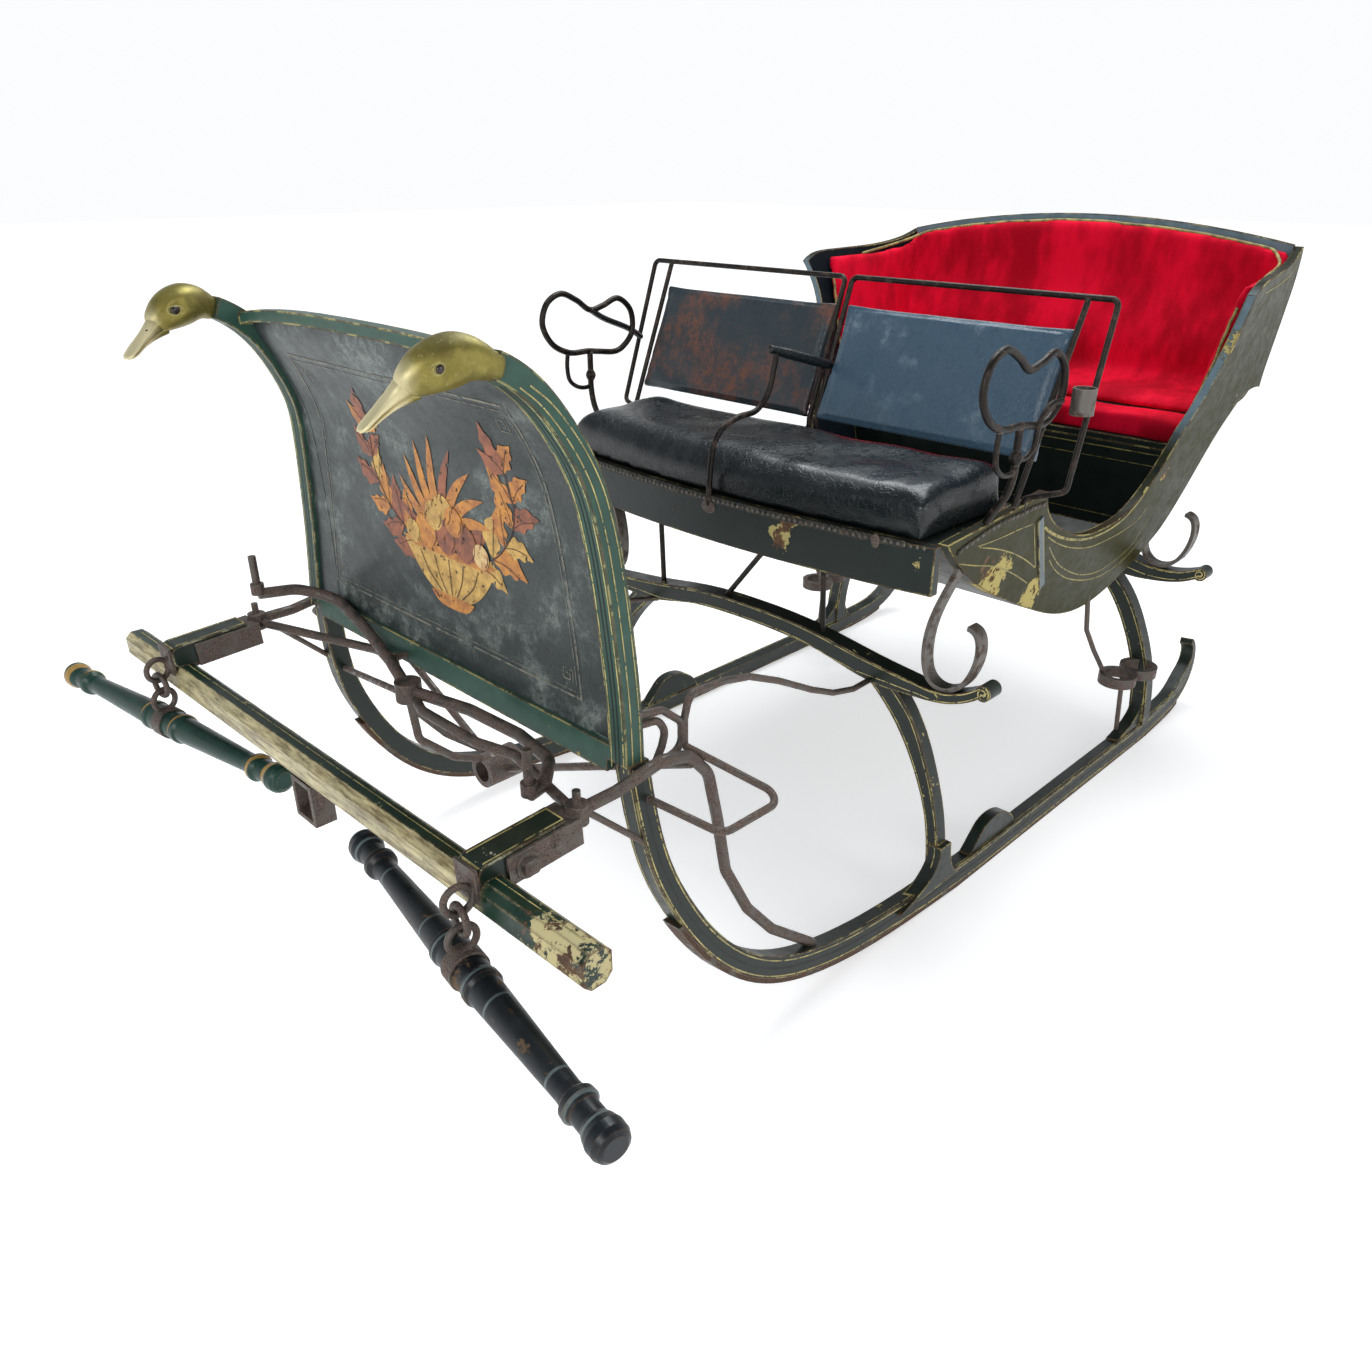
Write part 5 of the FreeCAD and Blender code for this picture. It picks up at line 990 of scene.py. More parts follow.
# %% Paint for the lines
def line_paint(name, colour, dark, broken, gloss=0.45):
    """Thin paint: blotchy colour, and gaps where it has rubbed off."""
    t = Paint(name)
    blotch = t.noise(38.0, 6.0, 0.7)
    return t.paint(Base_Color=blotch.step(0.35, 0.65).mix(dark, colour),
                   Roughness=blotch.step(0.3, 0.7, gloss, gloss + 0.2),
                   Alpha=t.noise(75.0, 5.0, 0.72).step(0.30 + broken, 0.36 + broken))


finish["cream_line"] = line_paint("cream coach line", "c8b877", "857a4c", 0.10)
finish["gold_line"] = line_paint("gold coach line", "a99a55", "6f6a3a", 0.08)
finish["grey_line"] = line_paint("faded grey line", "7e7a6d", "55564f", 0.12)
# Grooves are flat near-black ribbons laid where a cut groove would be dark: painted shade.
finish["groove"] = line_paint("dark groove", "0d1512", "060908", -0.2)

# %% Lines along the runners
front_shares = np.array([(0, 0), (0.29, 0.028), (0.54, 0.085), (0.635, 0.128), (0.722, 0.19),
                         (0.803, 0.282), (0.873, 0.402), (0.932, 0.55), (0.972, 0.70),
                         (0.992, 0.86), (1, 0.99)])
horn_shares = np.array([(0.02, 0), (0.34, 0.05), (0.66, 0.14), (0.87, 0.33), (0.965, 0.6)])
spine = np.vstack([front_shares[::-1] * (-917, 632), [[300, 0], [600, 0]],
                   horn_shares * (339, 196) + (880, 0)])
spine = smooth_line(np.column_stack([np.zeros(len(spine)), spine]), 420)
inner = np.cross(unit(np.gradient(spine, axis=0)), (-1.0, 0.0, 0.0))
inner *= np.sign(inner @ np.array([0.0, 0.4, 1.0]))[:, None]
depth = np.interp(np.arange(420), [0, 110, 180, 340, 385, 419], [36, 38, 42, 42, 38, 20])[:, None]


def runner_line(inset, across=0, part=slice(None)):
    """Line at a depth into the runner, set in its leaning plane, across from its outer face."""
    flat = (spine + inner * inset)[part]
    return row(np.hstack([530.0 - 73.0 * flat[:, 2:3] / 632.0 - across, flat[:, 1:]]))


runner_tree = search_tree("runner_left")
side_way = np.array([-1.0, 0.0, 0.0])
cream = [stripe(runner_tree, runner_line(6 + depth * share), side_way, 0.0022)
         for share in (0.12, 0.86)]
# A near-black ribbon down the runner's middle: painted shade of a groove.
groove = [stripe(runner_tree, runner_line(6 + depth * 0.5), side_way, 0.004, 0.0003)]
front, rear = slice(0, 150), slice(150, 400)
cream += [stripe(runner_tree, runner_line(6, across, front), inner[front], 0.0022)
          for across in (5, 29)]
cream.append(stripe(runner_tree, runner_line(6 + depth, 5, rear), -inner[rear], 0.002))

# %% Lines on the dash's frame
dash_front = [(0.052, -0.045), (0.008, 0.158), (0, 0.302), (0.015, 0.482), (0.053, 0.626),
              (0.106, 0.698), (0.22, 0.77), (0.386, 0.842), (0.621, 0.914), (0.82, 0.953)]
dash_edge = [(0, 0), (0.158, 0.116), (0.302, 0.26), (0.482, 0.449), (0.626, 0.638),
             (0.698, 0.739), (0.77, 0.812), (0.842, 0.90), (0.914, 0.97), (0.953, 0.985)]
profile = smooth_line([(0, -912 - 132 * y, 632 + 556 * z) for y, z in dash_front], 140)
edge = smooth_line([(457 - 69 * x, 0, 632 + 556 * z) for z, x in dash_edge], 140)
profile = profile[profile[:, 2] > 622]
dash_way = np.cross(np.gradient(profile, axis=0), (-1.0, 0.0, 0.0))
dash_way = unit(dash_way * np.sign(dash_way[:, 1:2]))
frame_tree = search_tree("dash_frame")


def dash_half(level):
    """Half width of the dash in metres at heights in metres."""
    return np.interp(level * 1000, edge[:, 2], edge[:, 0]) / 1000


def dash_line(inset, back=0.0):
    """Line up the dash's face, in metres inside its edge and behind its face."""
    line = row(profile) + (0, back, 0)
    line[:, 0] = dash_half(line[:, 2]) - inset
    return line


cream += [stripe(frame_tree, dash_line(inset), dash_way, 0.0024) for inset in (0.005, 0.0305)]
# Two near-black ribbons between the dash frame's cream lines: painted shade of grooves.
groove += [stripe(frame_tree, dash_line(inset), dash_way, 0.0030, 0.0003)
           for inset in (0.014, 0.022)]
cream += [stripe(frame_tree, dash_line(-0.004, back), side_way, 0.002) for back in (0.012, 0.028)]

# %% Lines on legs and bolsters
ahead_way = np.array([0.0, 1.0, 0.0])


def beside_line(points, amount):
    """Flat line in X and Z moved to its left by an amount, in metres: p + a * (-tz, tx)."""
    way = unit(np.gradient(points, axis=0))
    return row(points + np.column_stack([-way[:, 2], 0 * way[:, 1], way[:, 0]]) * amount)


def spread(values, count):
    """Values at even shares, read at more even shares, as a column."""
    return np.interp(np.linspace(0, 1, count), np.linspace(0, 1, len(values)), values)[:, None]


leg_curve = [(0.06, 0.99), (0.25, 0.92), (0.56, 0.77), (0.79, 0.582), (0.925, 0.405), (0.99, 0.18),
             (1, 0.115)]
for node, y, foot, width, shares in (
        ("front_leg_left", -115, 499, 31, [0.5, 0.95, 1.05, 0.8, 0.66, 0.66, 0.68]),
        ("rear_leg_left", 875, 489, 38, [0.3, 0.7, 1, 1, 1, 1.02, 1.04])):
    leg_tree = search_tree(node)
    curve = smooth_line([(250 + (foot - 250) * x, y - width / 2, 498 * z)
                         for x, z in leg_curve], 80)
    wide = spread(shares, 80) * 42
    cream += [stripe(leg_tree, beside_line(curve, wide * share), ahead_way, 0.0020, reach=0.02)
              for share in (0.14, 0.86)]
    # A near-black ribbon down the leg's middle: painted shade of a groove.
    groove.append(stripe(leg_tree, beside_line(curve, wide * 0.5), ahead_way, 0.004, 0.0003, 0.02))
for node, y, half, crown, tops, beams in (
        ("front_bolster", -136, 575, 527,
         [(0, 0), (0.17, 0.05), (0.33, 0.24), (0.525, 0.62), (0.61, 0.77), (0.74, 0.95), (0.837, 1),
          (0.93, 0.60), (1, -0.05)], [1.1, 1.1, 1.1, 1.3, 1.25, 0.9, 0.66, 0.6, 0.5]),
        ("rear_bolster", 854, 590, 545,
         [(0, 0), (0.25, 0.10), (0.51, 0.38), (0.68, 0.73), (0.81, 1), (0.915, 0.93), (1, 0.60)],
         [0.95, 0.95, 1.1, 1.55, 1.05, 0.8, 0.6])):
    beam_tree = search_tree(node)
    curve = smooth_line([(half * x, y, crown + (484 - crown) * z) for x, z in tops], 120)
    deep = spread(beams, 120) * 33
    cream += [stripe(beam_tree, beside_line(curve, -deep * share), ahead_way, 0.0020, reach=0.02)
              for share in (0.13, 0.87)]
    turn, radius = 1.2 - np.linspace(0, 3.3 * np.pi, 60), np.linspace(13.5, 3.0, 60)
    spiral = curve[-1] + np.column_stack([radius * np.cos(turn), 0 * turn,
                                          radius * np.sin(turn) - 16])
    cream.append(stripe(beam_tree, row(spiral), ahead_way, 0.0026, 0.0006, 0.02))
# The cream lines are paint; the groove ribbons are painted shade.
for name, strips, finish_name in (("coach_lines", cream, "cream_line"),
                                  ("grooves", groove, "groove")):
    piece(name, ribbons_mesh(name, both_ways(strips)), "frame_green", finish[finish_name])
print(len(cream), "cream lines and", len(groove), "grooves a side")

# %% [markdown]
# ## Lines and battens on the tub
# The tub's side has a gold line under its piped edge, a second line that sags below it like a
# garland, and a three-sided panel in front of an upright batten. None of them follows an edge
# exactly, so they are drawn as seen from the camera, carried to the side, and mirrored.

# %% Tub lines, piping and battens
side_tree = search_tree("tub_side_left")
sweeps = [
    [(1048, 537), (1055, 542), (1064, 546), (1078, 548), (1089, 547), (1102, 542), (1114, 536),
     (1127, 528), (1139, 518), (1146, 508)],
    [(1049, 547), (1053, 556), (1058, 564), (1068, 571), (1079, 574.5), (1091, 573.5), (1102, 569),
     (1112, 562), (1122, 554), (1131, 545), (1139, 533), (1147, 519)],
    [(1049, 560), (1054, 569), (1064, 577), (1079, 580), (1094, 578), (1108, 571), (1120, 562),
     (1131, 551), (1141, 538)],
    [(978, 546.5), (993, 541), (1007, 535), (1020, 529), (1033, 524)],
    [(1034, 525), (1034.5, 546), (1035, 567)],
    [(980, 547.5), (997, 549), (1012, 553), (1024, 559), (1035, 567.5)],
    [(959, 564), (975, 565.5), (990, 566), (1003, 569), (1015, 575), (1027, 583)],
]
piping = [(1044, 527), (1050, 532), (1060, 537), (1074, 539.5), (1089, 538), (1102, 533),
          (1114, 526), (1124, 518), (1133, 508), (1141, 498), (1148, 487)]
gold = []
for path in sweeps:
    gold += both_ways([pixel_ribbon(side_tree, path, 0.0026)])
gold += both_ways([pixel_ribbon(side_tree, piping, 0.0060, 60, 0.0012)])
piece("tub_gold_lines", ribbons_mesh("tub_gold_lines", gold), "body_green", finish["gold_line"])

line, outward = seen(side_tree, [(1040.0, 519), (1040.5, 550), (1041, 586)], 24)
strip = edges_of(line, outward, 0.017)
raised = strip + outward[:, None] * 0.003
batten = closed_bar("batten", np.stack([strip[:, 0], raised[:, 0], raised[:, 1], strip[:, 1]], 1))
piece("tub_battens", joined("tub_battens", [batten, mirrored(batten)]), "body_green",
      finish["batten"], smooth=False)

# %% [markdown]
# ## Nails and braid
# The leather is held by round-headed nails: a row through the braid along the seat's front, and
# one along each of the tub's front edges. A head is a dome of five rings; all heads of a row go
# into one mesh, turned so that each stands on its own patch of surface.


# %% Rows of nails
def domes(places, outward, radius):
    """Mesh of domes: place + r cos v (a cos u + b sin u) + 0.6 r sin v n, for each place."""
    n = unit(outward)
    a = unit(np.cross(n, np.where(np.abs(n[:, 2:3]) > 0.9, [[1.0, 0, 0]], [[0, 0, 1.0]])))
    c, s = (value[:, None, None] for value in circle(10))
    v = np.linspace(-0.15, np.pi / 2 - 0.03, 5)[:, None, None, None]
    grid = places + radius * (np.cos(v) * (c * a + s * np.cross(n, a)) + 0.6 * np.sin(v) * n)
    index = np.arange(50).reshape(5, 10)
    wide = np.hstack([index, index[:, :1]])
    quads = np.stack([wide[:-1, :-1], wide[:-1, 1:], wide[1:, 1:], wide[1:, :-1]], -1)
    starts = 50 * np.arange(len(places))[:, None]
    faces = (quads.reshape(-1, 4) + starts[:, None]).reshape(-1, 4).tolist()
    mesh = bpy.data.meshes.new("nails")
    mesh.from_pydata(grid.transpose(2, 0, 1, 3).reshape(-1, 3).tolist(), [],
                     faces + (index[-1] + starts).tolist())
    return mesh


def spaced(line, outward, gap):
    """Places every gap along a line, with the outward direction at each."""
    length = steps_along(line)
    at = np.arange(gap / 2, length[-1], gap)
    return (np.column_stack([np.interp(at, length, values[:, k]) for k in range(3)])
            for values in (line, outward))


def line_of(x, y, z):
    """Points from three coordinates, each a row of values or one value for all."""
    return np.column_stack(np.broadcast_arrays(x, y, z))


front_line = laid(search_tree("seat_front_board"),
                  line_of(np.linspace(-0.492, 0.492, 160), -0.30, 0.796), ahead_way, 0.0, 0.15)
front_out = np.tile(-ahead_way, (420, 1))
front = domes(*spaced(front_line + (0, -0.0028, 0.004), front_out[:160], 0.0125), 0.0034)
tip_path = [(957, 553.5), (966, 546), (976, 539), (989, 530), (1003, 522), (1018, 515),
            (1032, 508.5), (1046, 503)]
tip_line, tip_out = seen(side_tree, tip_path, 60)
tips = domes(*spaced(tip_line + tip_out * 0.0025, tip_out, 0.0165), 0.0042)
piece("upholstery_nails", joined("upholstery_nails", [front, tips, mirrored(tips)]), "iron",
      finish["grey_iron"])

# %% Braid under the nails
t = Paint("worn leather braid")
weave = t.add("ShaderNodeTexWave", {"Vector": t.place, "Scale": 42.0, "Distortion": 3.0,
                                    "Detail": 3.0}, "Fac", bands_direction="DIAGONAL")
frayed = t.noise(60.0, 6.0, 0.7)
tone = frayed.step(0.38, 0.68).mix("12120f", "575040")
t.bump(0.7, 0.002, weave)
# Where the weave's relief is low, between the strands, the colour goes towards near black: painted
# shade.
finish["braid"] = t.paint(Base_Color=weave.step(0.1, 0.6, 0.5, 0.0).mix(tone, "0b0b09"),
                          Roughness=frayed.step(0.3, 0.7, 0.5, 0.85))


def rope(name, line, outward, width, thick, twists):
    """Closed band: an oval section that swells and thins like plaited strands."""
    side = unit(np.cross(np.gradient(line, axis=0), outward))
    angle = np.linspace(0, 2 * np.pi, 12, endpoint=False)
    turn = np.linspace(0, twists * np.pi, len(line))[:, None]
    beat = 1 + 0.10 * np.sin(2 * turn) + 0.08 * np.sin(2 * angle + turn)
    return closed_bar(name, line[:, None]
                      + side[:, None] * (width / 2 * np.cos(angle) * beat)[..., None]
                      + outward[:, None] * (thick * (0.6 + 0.6 * np.sin(angle)) * beat)[..., None])


front = rope("braid", smooth_line(front_line[::8], 420) + (0, 0, 0.004), front_out, 0.0135,
             0.0018, 150)
tip = rope("tip braid", *seen(side_tree, tip_path, 160), 0.010, 0.0018, 50)
piece("leather_braid", joined("leather_braid", [front, tip, mirrored(tip)]), "leather",
      finish["braid"])

# %% [markdown]
# ## The dash's panel
# The real panel carries a painted picture. Its place holds a plain ornament of the same warm
# colours and size: a bowl of round fruit between sprays of leaves, even on both sides. Leaves are
# laid on the leather as thin paint, rubbed through in places, inside the panel's own border
# lines with a little key in each corner.

# %% Leaves, stems, fruit and bowl
ORANGE, YELLOW, RUSSET, PALE, VEIN = range(5)
spray_paints = [line_paint("orange leaf paint", "c98a3f", "9a5c2b", 0.05, 0.4),
                line_paint("yellow leaf paint", "d2ab5e", "a47e3c", 0.06, 0.4),
                line_paint("russet leaf paint", "9d6044", "6d3d2b", 0.05, 0.4),
                line_paint("pale fruit paint", "d9bd86", "b17b45", 0.04, 0.4),
                line_paint("dark vein paint", "4a2a1c", "2b1a12", 0.06, 0.4)]
panel_tree = search_tree("dash_panel")
CENTRE = np.array([0.035, -0.9, 0.930])


def on_panel(x, z, lift):
    """Grid of the ornament's own coordinates, laid on the panel."""
    return laid(panel_tree, CENTRE + np.stack([x, 0 * x, z], -1), ahead_way, lift, 0.25)


def leaf(root, angle, length, width, lobes, lift):
    """Flat leaf: root + u L (cos a, sin a) + v W sin(pi u^0.8) (1 + 0.18 cos(lobes 2 pi u))."""
    u = np.linspace(0, 1, 26)[:, None]
    v = np.linspace(-1, 1, 7)[None]
    half = width * np.sin(np.pi * u ** 0.8) * (1 + 0.18 * np.cos(lobes * 2 * np.pi * u))
    x = u * length + 0 * v
    z = half * v + 0.12 * length * np.sin(np.pi * u)
    return on_panel(root[0] + x * math.cos(angle) - z * math.sin(angle),
                    root[1] + x * math.sin(angle) + z * math.cos(angle), lift)


def stem(points, width, lift):
    """Thin line through points of the ornament."""
    line = smooth_line([(x, 0, z) for x, z in points], 60) + CENTRE
    return stripe(panel_tree, line, ahead_way, width, lift, 0.25)


def disc(x, z, radius, lift):
    """Round fruit as a flat disc of rings."""
    u = np.linspace(0, 2 * np.pi, 25)[::-1]
    r = np.linspace(0.02, 1, 5)[:, None] * radius
    return on_panel(x + r * np.cos(u), z + r * np.sin(u), lift)


def bowl(width, top, bottom, power, lift):
    """Shallow bowl: depth = (1 - |x / width|^p) under its rim, as a grid across and down."""
    u = np.linspace(-1, 1, 33)[:, None]
    v = np.linspace(0, 1, 8)[None]
    return on_panel(width * u + 0 * v, top - (top - bottom) * v * (1 - np.abs(u) ** power), lift)


# %% The ornament
rng = np.random.default_rng(11)
spray = [(YELLOW, bowl(0.125, -0.085, -0.165, 2.6, 0.0010)),
         (ORANGE, bowl(0.128, -0.079, -0.092, 9.0, 0.0014)),
         (ORANGE, bowl(0.060, -0.158, -0.180, 4.0, 0.0014))]
for x in (-0.08, -0.04, 0.0, 0.04, 0.08):
    spray.append((VEIN, stem([(x, -0.096), (x * 0.8, -0.125), (x * 0.35, -0.156)], 0.0018, 0.002)))
for side in (1, -1):
    curve = [(0.085 * side, -0.085), (0.150 * side, -0.045), (0.188 * side, 0.015),
             (0.180 * side, 0.080)]
    path = smooth_line(curve, 6)
    headings = [math.atan2(ahead[1], ahead[0]) for ahead in np.gradient(path, axis=0)]
    for k, (place, heading) in enumerate(zip(path, headings)):
        for turn in (0.8, -0.8):
            size = (0.080 - 0.005 * k) * rng.uniform(0.9, 1.12)
            colour = int(rng.integers(0, 3))
            spray.append((colour, leaf(place, heading + turn + rng.uniform(-0.12, 0.12), size,
                                       size * 0.24, 3, 0.0008 + 0.00006 * k)))
            tip = place + 0.8 * size * np.array([math.cos(heading + turn),
                                                 math.sin(heading + turn)])
            spray.append((VEIN, stem([place, (place + tip) / 2 + (0, 0.004), tip], 0.0013, 0.0016)))
    spray.append((RUSSET, leaf(path[-1], headings[-1], 0.075, 0.016, 3, 0.0012)))
    spray.append((VEIN, stem(curve, 0.0026, 0.0017)))
for k in range(9):
    spray.append((int(rng.integers(0, 2)) * RUSSET,
                  leaf((0, -0.06), math.pi * (0.5 + (k - 4) * 0.10), 0.165 - 0.008 * abs(k - 4),
                       0.0125, 1, 0.0010)))
fruit = [(0.0, -0.015, 0.026, YELLOW), (-0.052, -0.058, 0.031, ORANGE),
         (0.052, -0.058, 0.031, RUSSET), (0.0, -0.058, 0.029, RUSSET),
         (-0.027, -0.028, 0.024, YELLOW), (0.027, -0.028, 0.024, ORANGE),
         (0.093, -0.068, 0.020, PALE), (-0.093, -0.068, 0.020, YELLOW)]
stalk, shade = [(0, 0.6), (0.05, 0.85), (0.3, 1.15)], [(0.45, -0.75), (0.82, -0.25), (0.85, 0.2)]
for k, (x, z, radius, colour) in enumerate(fruit):
    spray.append((colour, disc(x, z, radius, 0.0019 + 0.0001 * k)))
    for marks, width in ((stalk, 0.0016), (shade, 0.0014)):
        spray.append((VEIN, stem([(x + a * radius, z + b * radius) for a, b in marks], width,
                                 0.0030)))
piece("dash_fruit_bowl", joined("dash_fruit_bowl", [(colour, grid_mesh("leaf", grid))
                                                    for colour, grid in spray]),
      "dash_leather", *spray_paints)

# %% Border lines and corner keys
heights = np.linspace(0.700, 1.118, 90)
halves = dash_half(heights)
border = []
for inset, width in ((0.100, 0.0036), (0.1085, 0.0016)):
    border += [(line_of(side * (halves - inset), -0.95, heights), width) for side in (1, -1)]
    for z, x in ((0.600 + inset, halves[0] - inset), (1.218 - inset, halves[-1] - inset)):
        border.append((line_of(np.linspace(-x, x, 60), -0.95, z), width))
KEY = 0.022 * np.array([(0, 0), (0, 1), (1, 1), (1, 0.25), (0.3, 0.25), (0.3, 0.7), (0.7, 0.7)])
for end, z, up in ((0, 0.718, 1), (-1, 1.100, -1)):
    for side in (1, -1):
        for start, stop in zip(KEY[:-1], KEY[1:]):
            flat = np.linspace(start, stop, 6)
            border.append((line_of(side * (halves[end] - 0.118 - flat[:, 0]), -0.95,
                                   z + up * flat[:, 1]), 0.0018))
border = [stripe(panel_tree, line, ahead_way, width, 0.0007, 0.25) for line, width in border]
piece("dash_border", ribbons_mesh("dash_border", border), "dash_leather", finish["grey_line"])

# %% [markdown]
# ## Bolts on the draft blocks
# Each block is held between two iron cheeks by a bolt: a round washer with a square nut, hammered
# a little out of shape. The nut is a short tapered prism, the washer a flat ring.


# %% Bolts
def turned(name, profile, around, power=2.0):
    """Solid of revolution along X: radius and height pairs, corners squared for a high power."""
    radius, depth = np.array(profile, float).T[:, :, None]
    c, s = circle(around, power)
    grid = np.stack([depth + 0 * c, radius * c, radius * s], -1)
    return sealed(grid_mesh(name, grid, closed_v=True), 1e-7)


def placed(mesh, scale, place, ahead=False):
    """Scaled copy of a mesh at a place, turned to stand on a face that looks ahead if asked."""
    copy = mesh.copy()
    x, y, z = corners(copy).T
    put_corners(copy, np.column_stack([y, -x, z] if ahead else [x, y, z]) * scale + place)
    return copy


washer = turned("washer", [(0, -0.001), (0.019, -0.001), (0.020, 0.0005), (0.019, 0.0025),
                           (0.012, 0.003), (0, 0.003)], 28)
nut = turned("nut", [(0, 0.002), (0.0115, 0.002), (0.0120, 0.004), (0.0112, 0.0105),
                     (0.009, 0.012), (0.0055, 0.0125), (0.005, 0.015), (0, 0.0158)], 24, 5.0)
bolts = []
for scale, place in ((1.0, (0.4945, -1.085, 0.5935)), (0.5, (0.4945, -1.038, 0.604))):
    for mesh in (washer, nut):
        copy = placed(mesh, scale, place)
        bolts += [copy, mirrored(copy)]
piece("block_bolts", joined("block_bolts", bolts), "iron", finish["draft_iron"], smooth=False)

# %% [markdown]
# ## Leather welts beside the panel, and lines on the back
# The dash's leather is nailed under the stiles, so that no daylight shows between them: a welt
# follows each stile from the panel's edge outwards. The tub's back carries two gold frames, the
# board under the rear seat three lines, and each outer side one line 30 mm under its top edge.

# %% Welts
PANEL_EDGE = 0.352
levels = np.linspace(0.660, 1.160, 70)
stile = np.maximum(dash_half(levels) - 0.030, PANEL_EDGE + 0.004)
face_y = laid(panel_tree, line_of(PANEL_EDGE, -1.1, levels), ahead_way, 0.0, 0.4)[:, 1]
welt = closed_bar("welt", np.stack([line_of(x, face_y + back, levels) for x, back in (
    (PANEL_EDGE, -0.0006), (stile, -0.0012), (stile, 0.0040), (PANEL_EDGE, 0.0040))], 1))
piece("dash_welts", joined("dash_welts", [welt, mirrored(welt)]), "dash_leather",
      finish["dash_leather"], smooth=False)


# %% Lines on the tub's sides and back
def best_in(points, bands, key, value, best):
    """For each band of one coordinate, the point with the best value of another."""
    found = []
    for low, high in zip(bands[:-1], bands[1:]):
        inside = points[(points[:, key] >= low) & (points[:, key] < high)]
        if len(inside):
            found.append(inside[best(inside[:, value])])
    return np.array(found)


back_points, back_tree = corners(welded("tub_back")), search_tree("tub_back")
low, high = back_points[:, 0].min(), back_points[:, 0].max()
tops = best_in(back_points, np.linspace(low, high, 24), 0, 2, np.argmax)
span = np.linspace(-1, 1, 60)
outer = []
for wide, narrow, crest, base in ((0.94 * (high - 0.045), 0.475, None, 0.895),
                                  (0.425, 0.365, 0.800, 0.545)):
    crest = crest or np.interp(span * wide, tops[:, 0], tops[:, 2]) - 0.040
    upper, lower = line_of(span * wide, 1.5, crest), line_of(span * narrow, 1.5, base)
    for line in (upper, lower, np.linspace(upper[0], lower[0], 60),
                 np.linspace(upper[-1], lower[-1], 60)):
        strip = stripe(back_tree, smooth_line(line, 90), -ahead_way, 0.0030, 0.0006, 0.9)
        outer += caught(strip, 1, 1.45)
riser_tree = search_tree("rear_seat_riser")
for z, half, width in ((0.760, 0.465, 0.0026), (0.732, 0.450, 0.0018), (0.590, 0.400, 0.0018)):
    outer.append(stripe(riser_tree, line_of(span * half, 0.80, z), ahead_way, width, 0.0006, 0.2))
rear = corners(welded("tub_side_left"))
crest = best_in(rear[rear[:, 1] > 0.86], np.linspace(0.84, 1.22, 6), 1, 2, np.argmax)
line = smooth_line(crest[np.argsort(crest[:, 1])] - (0, 0, 0.030), 70)
line[:, 0] = 0.9
outer += both_ways(caught(stripe(side_tree, line, side_way, 0.0028, 0.0006, 0.5), 0, 0.7))
piece("tub_back_lines", ribbons_mesh("tub_back_lines", outer), "body_green", finish["gold_line"])
print(len(outer), "outer lines")

# %% [markdown]
# ## Piping round the velvet
# A gilt cord covers the velvet's raw edge along the top of the back and down the front of both
# wings. Its line is read from the velvet itself: in each narrow band across the tub the highest
# point, and in each narrow band of height the foremost one.


# %% Tubes
def tube(name, points, radius, count=120, around=14, closed=False, winding=0,
         helper=(1.0, 0.2, 0.05)):
    """Round tube of a given radius (one value or one per point) along a smooth line."""
    line = smooth_line(points, count)
    if closed:
        line = line[:-1]
        along = unit(np.roll(line, -1, 0) - np.roll(line, 1, 0))
    else:
        along = unit(np.gradient(line, axis=0))
    side = unit(np.cross(along, helper))
    size = spread(np.atleast_1d(radius), len(line))
    if winding:
        turns = np.linspace(0, winding * np.pi, len(line))[:, None]
        size = size * (1 + 0.10 * np.abs(np.sin(turns)))
    c, s = (value[:, None] for value in circle(around))
    grid = line[:, None] + size[:, None] * (side[:, None] * c + np.cross(side, along)[:, None] * s)
    return grid_mesh(name, grid, True, True) if closed else closed_bar(name, grid)


# %% Piping
def evened(points, count):
    """Line through the points with its small steps averaged out."""
    for _ in range(3):
        points[1:-1] = points[1:-1] * 0.5 + (points[:-2] + points[2:]) * 0.25
    return smooth_line(points[::2], count)


points = corners(cover.data)
top = best_in(points, np.linspace(-0.56, 0.56, 72), 0, 2, np.argmax)
wing = best_in(points[points[:, 0] > 0.4], np.linspace(0.86, 1.12, 30), 2, 1, np.argmin)
top_cord = tube("top piping", evened(top[top[:, 2] > 1.0], 240) + (0, 0, 0.001), 0.0038, 240, 10,
                helper=(0.1, 1.0, 0.1))
side_cord = tube("wing piping", evened(wing, 90), 0.0034, 90, 10)
finish["piping"] = line_paint("gilt piping", "a89a5c", "5b4d2a", -0.2, 0.5)
piece("velvet_piping", joined("velvet_piping", [top_cord, side_cord, mirrored(side_cord)]),
      "velvet", finish["piping"])

# %% [markdown]
# ## Smooth armrests
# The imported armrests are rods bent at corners, enough for their size and strength. On the real
# sleigh a smith drew them over a former in even sweeps, so round tubes along smooth curves
# through nearly the same points stand for them here. The grips are wound with cord, seen as
# beads around the tube.

# %% Armrest shapes
LOOP = [(0, 0), (0.104, -0.03), (0.354, -0.04), (0.50, 0.23), (0.489, 0.615), (0.336, 0.85),
        (0.164, 0.75), (0.026, 0.70), (-0.131, 0.89), (-0.306, 1.02), (-0.448, 0.885),
        (-0.507, 0.57), (-0.414, 0.21), (-0.246, 0.03)]
CURL = [(-0.25, 0.02), (-0.262, -0.22), (-0.238, -0.46), (-0.14, -0.60), (-0.06, -0.625),
        (0, -0.61)]
POST = [(556, 1000), (556, 960), (556, 915), (548, 880), (528, 845), (515, 821)]
KNOB = [(556, 957), (556, 953), (556, 945), (556, 937), (556, 933)]
STAY = [(0, 0, -0.42), (0.08, 0.2, -0.46), (0.16, 0.40, -0.36), (0.3, 0.44, 0.0),
        (0.5, 0.62, 0.21), (0.75, 0.83, 0.24)]
GRIP = [(556.0, -91, 1091), (562, -60, 1075), (575, 60, 1027), (579, 88, 1011)]
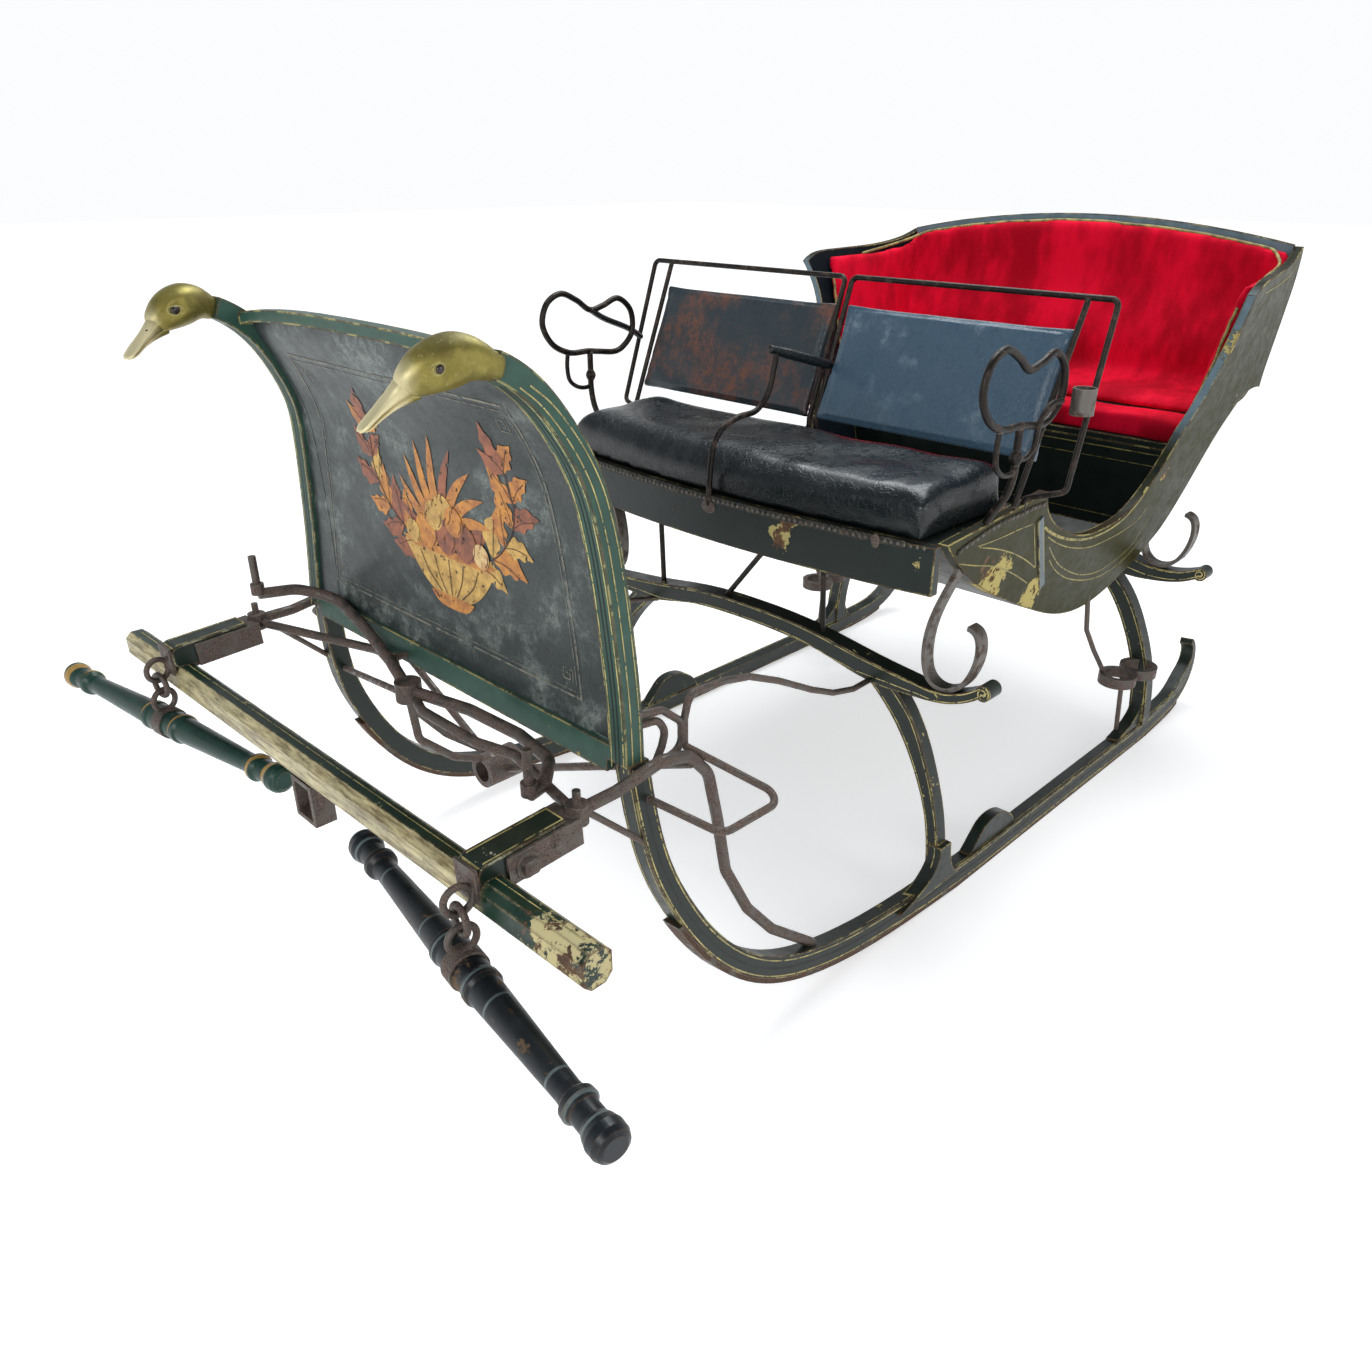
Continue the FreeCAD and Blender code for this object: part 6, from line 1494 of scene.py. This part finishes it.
CENTRE_ARM = [(0, 0), (0.01, 0.18), (0.03, 0.31), (0.07, 0.42), (0.175, 0.51), (0.42, 0.57),
              (0.76, 0.60), (0.92, 0.70), (0.99, 0.83), (1, 0.99), (0.93, 1.0)]


def in_loop(shares):
    """Points of the left armrest's upright plane, from shares of its length and height."""
    return row([(556.0, -98 + 268 * y, 1000 + 130 * z) for y, z in shares])


def closed_line(points, count):
    """Smooth closed line: the points are repeated at both ends and the middle turn is kept."""
    points = np.vstack([points[-3:], points, points[:4]])
    step, line = steps_along(points), smooth_line(points, 1200)
    gone = steps_along(line)
    at = np.linspace(step[3], step[-4], count)
    return np.column_stack([np.interp(at, gone * step[-1] / gone[-1], line[:, k])
                            for k in range(3)])


# %% Armrests
post, knob = (row([(x, -98, z) for x, z in points]) for points in (POST, KNOB))
arm = [tube("loop", closed_line(in_loop(LOOP), 180), 0.0068, 181, closed=True),
       tube("post", post, 0.0068, 60),
       tube("knob", knob, (0.007, 0.0105, 0.012, 0.0105, 0.007), 24),
       tube("curl", in_loop(CURL), 0.005, 60)]
stay = row(np.array(STAY) * (27.0, 120.0, 130.0) + (556.0, -98, 1000))
grip = mirrored(tube("grip", row(GRIP), 0.0068, 160, winding=26))
centre = np.array(CENTRE_ARM) * (0.185, 0.281) + (-0.245, 0.786)
centre = line_of(0.008, centre[:, 0], centre[:, 1])
hold = np.linspace(centre[-1], (0.008, 0.128, 1.012), 3)
for name, node, parts in (
        ("armrest_left", "arm_loop_left", arm + [tube("stay", stay, 0.005, 60)]),
        ("armrest_right", "arm_loop_right", [mirrored(mesh) for mesh in arm] + [(1, grip)]),
        ("armrest_centre", "centre_arm", [
            tube("rod", centre, 0.006),
            (1, tube("grip", hold, (0.007, 0.0095, 0.0095, 0.0095, 0.008), 200, winding=30))])):
    piece(name, joined(name, parts), "iron", finish["seat_iron"], finish["seat_leather"],
          hides=node)

# %% Foot plate of the centre arm and the board's tab
plate = turned("foot plate", [(0, -0.001), (0.015, -0.001), (0.0165, 0.0008), (0.015, 0.0028),
                              (0.009, 0.0034), (0, 0.0036)], 26)
screw = turned("screw", [(0, 0), (0.0036, 0), (0.0036, 0.0012), (0.002, 0.0018), (0, 0.0019)], 12)
small = [placed(mesh, scale, place, True) for mesh, scale, place in (
    (plate, (1.15, 1.0, 0.8), (0.008, -0.2450, 0.783)), (screw, 1, (0.0195, -0.2475, 0.784)),
    (screw, 1, (-0.0035, -0.2475, 0.784)), (plate, (0.55, 1.0, 0.8), (0.392, -0.2180, 0.796)),
    (screw, 1, (0.392, -0.2212, 0.796)))]
piece("board_plates", joined("board_plates", small), "iron", finish["draft_iron"], smooth=False)

# %% Lines on the crossbar and the blocks
low, high = (np.array(corner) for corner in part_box("crossbar"))
across = np.linspace(low[0] + 0.02, high[0] - 0.02, 160)
bar_tree, block_tree = search_tree("crossbar"), search_tree("draft_block_left")
thin = []
for share in (0.56, 0.80):
    line = line_of(across, low[1] + share * (high[1] - low[1]), high[2] + 0.05)
    thin += caught(stripe(bar_tree, line, (0, 0, -1), 0.0017, 0.0006, 0.3), 2, high[2] + 0.01)
low, high = (np.array(corner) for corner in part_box("draft_block_left"))
ring = np.array([(0.12, 0.03), (0.88, 0.03), (0.88, 0.97), (0.12, 0.97), (0.12, 0.03)])
ring = low[:2] + ring * (high - low)[:2]
for start, end in zip(ring[:-1], ring[1:]):
    flat = np.linspace(start, end, 16)
    strip = stripe(block_tree, line_of(flat[:, 0], flat[:, 1], high[2] + 0.05), (0, 0, -1), 0.0026,
                   0.0006, 0.2)
    thin += both_ways(caught(strip, 2, high[2] + 0.01, 2))
piece("draft_lines", ribbons_mesh("draft_lines", thin), "frame_green", finish["cream_line"])
print(len(thin), "lines on the draft gear")
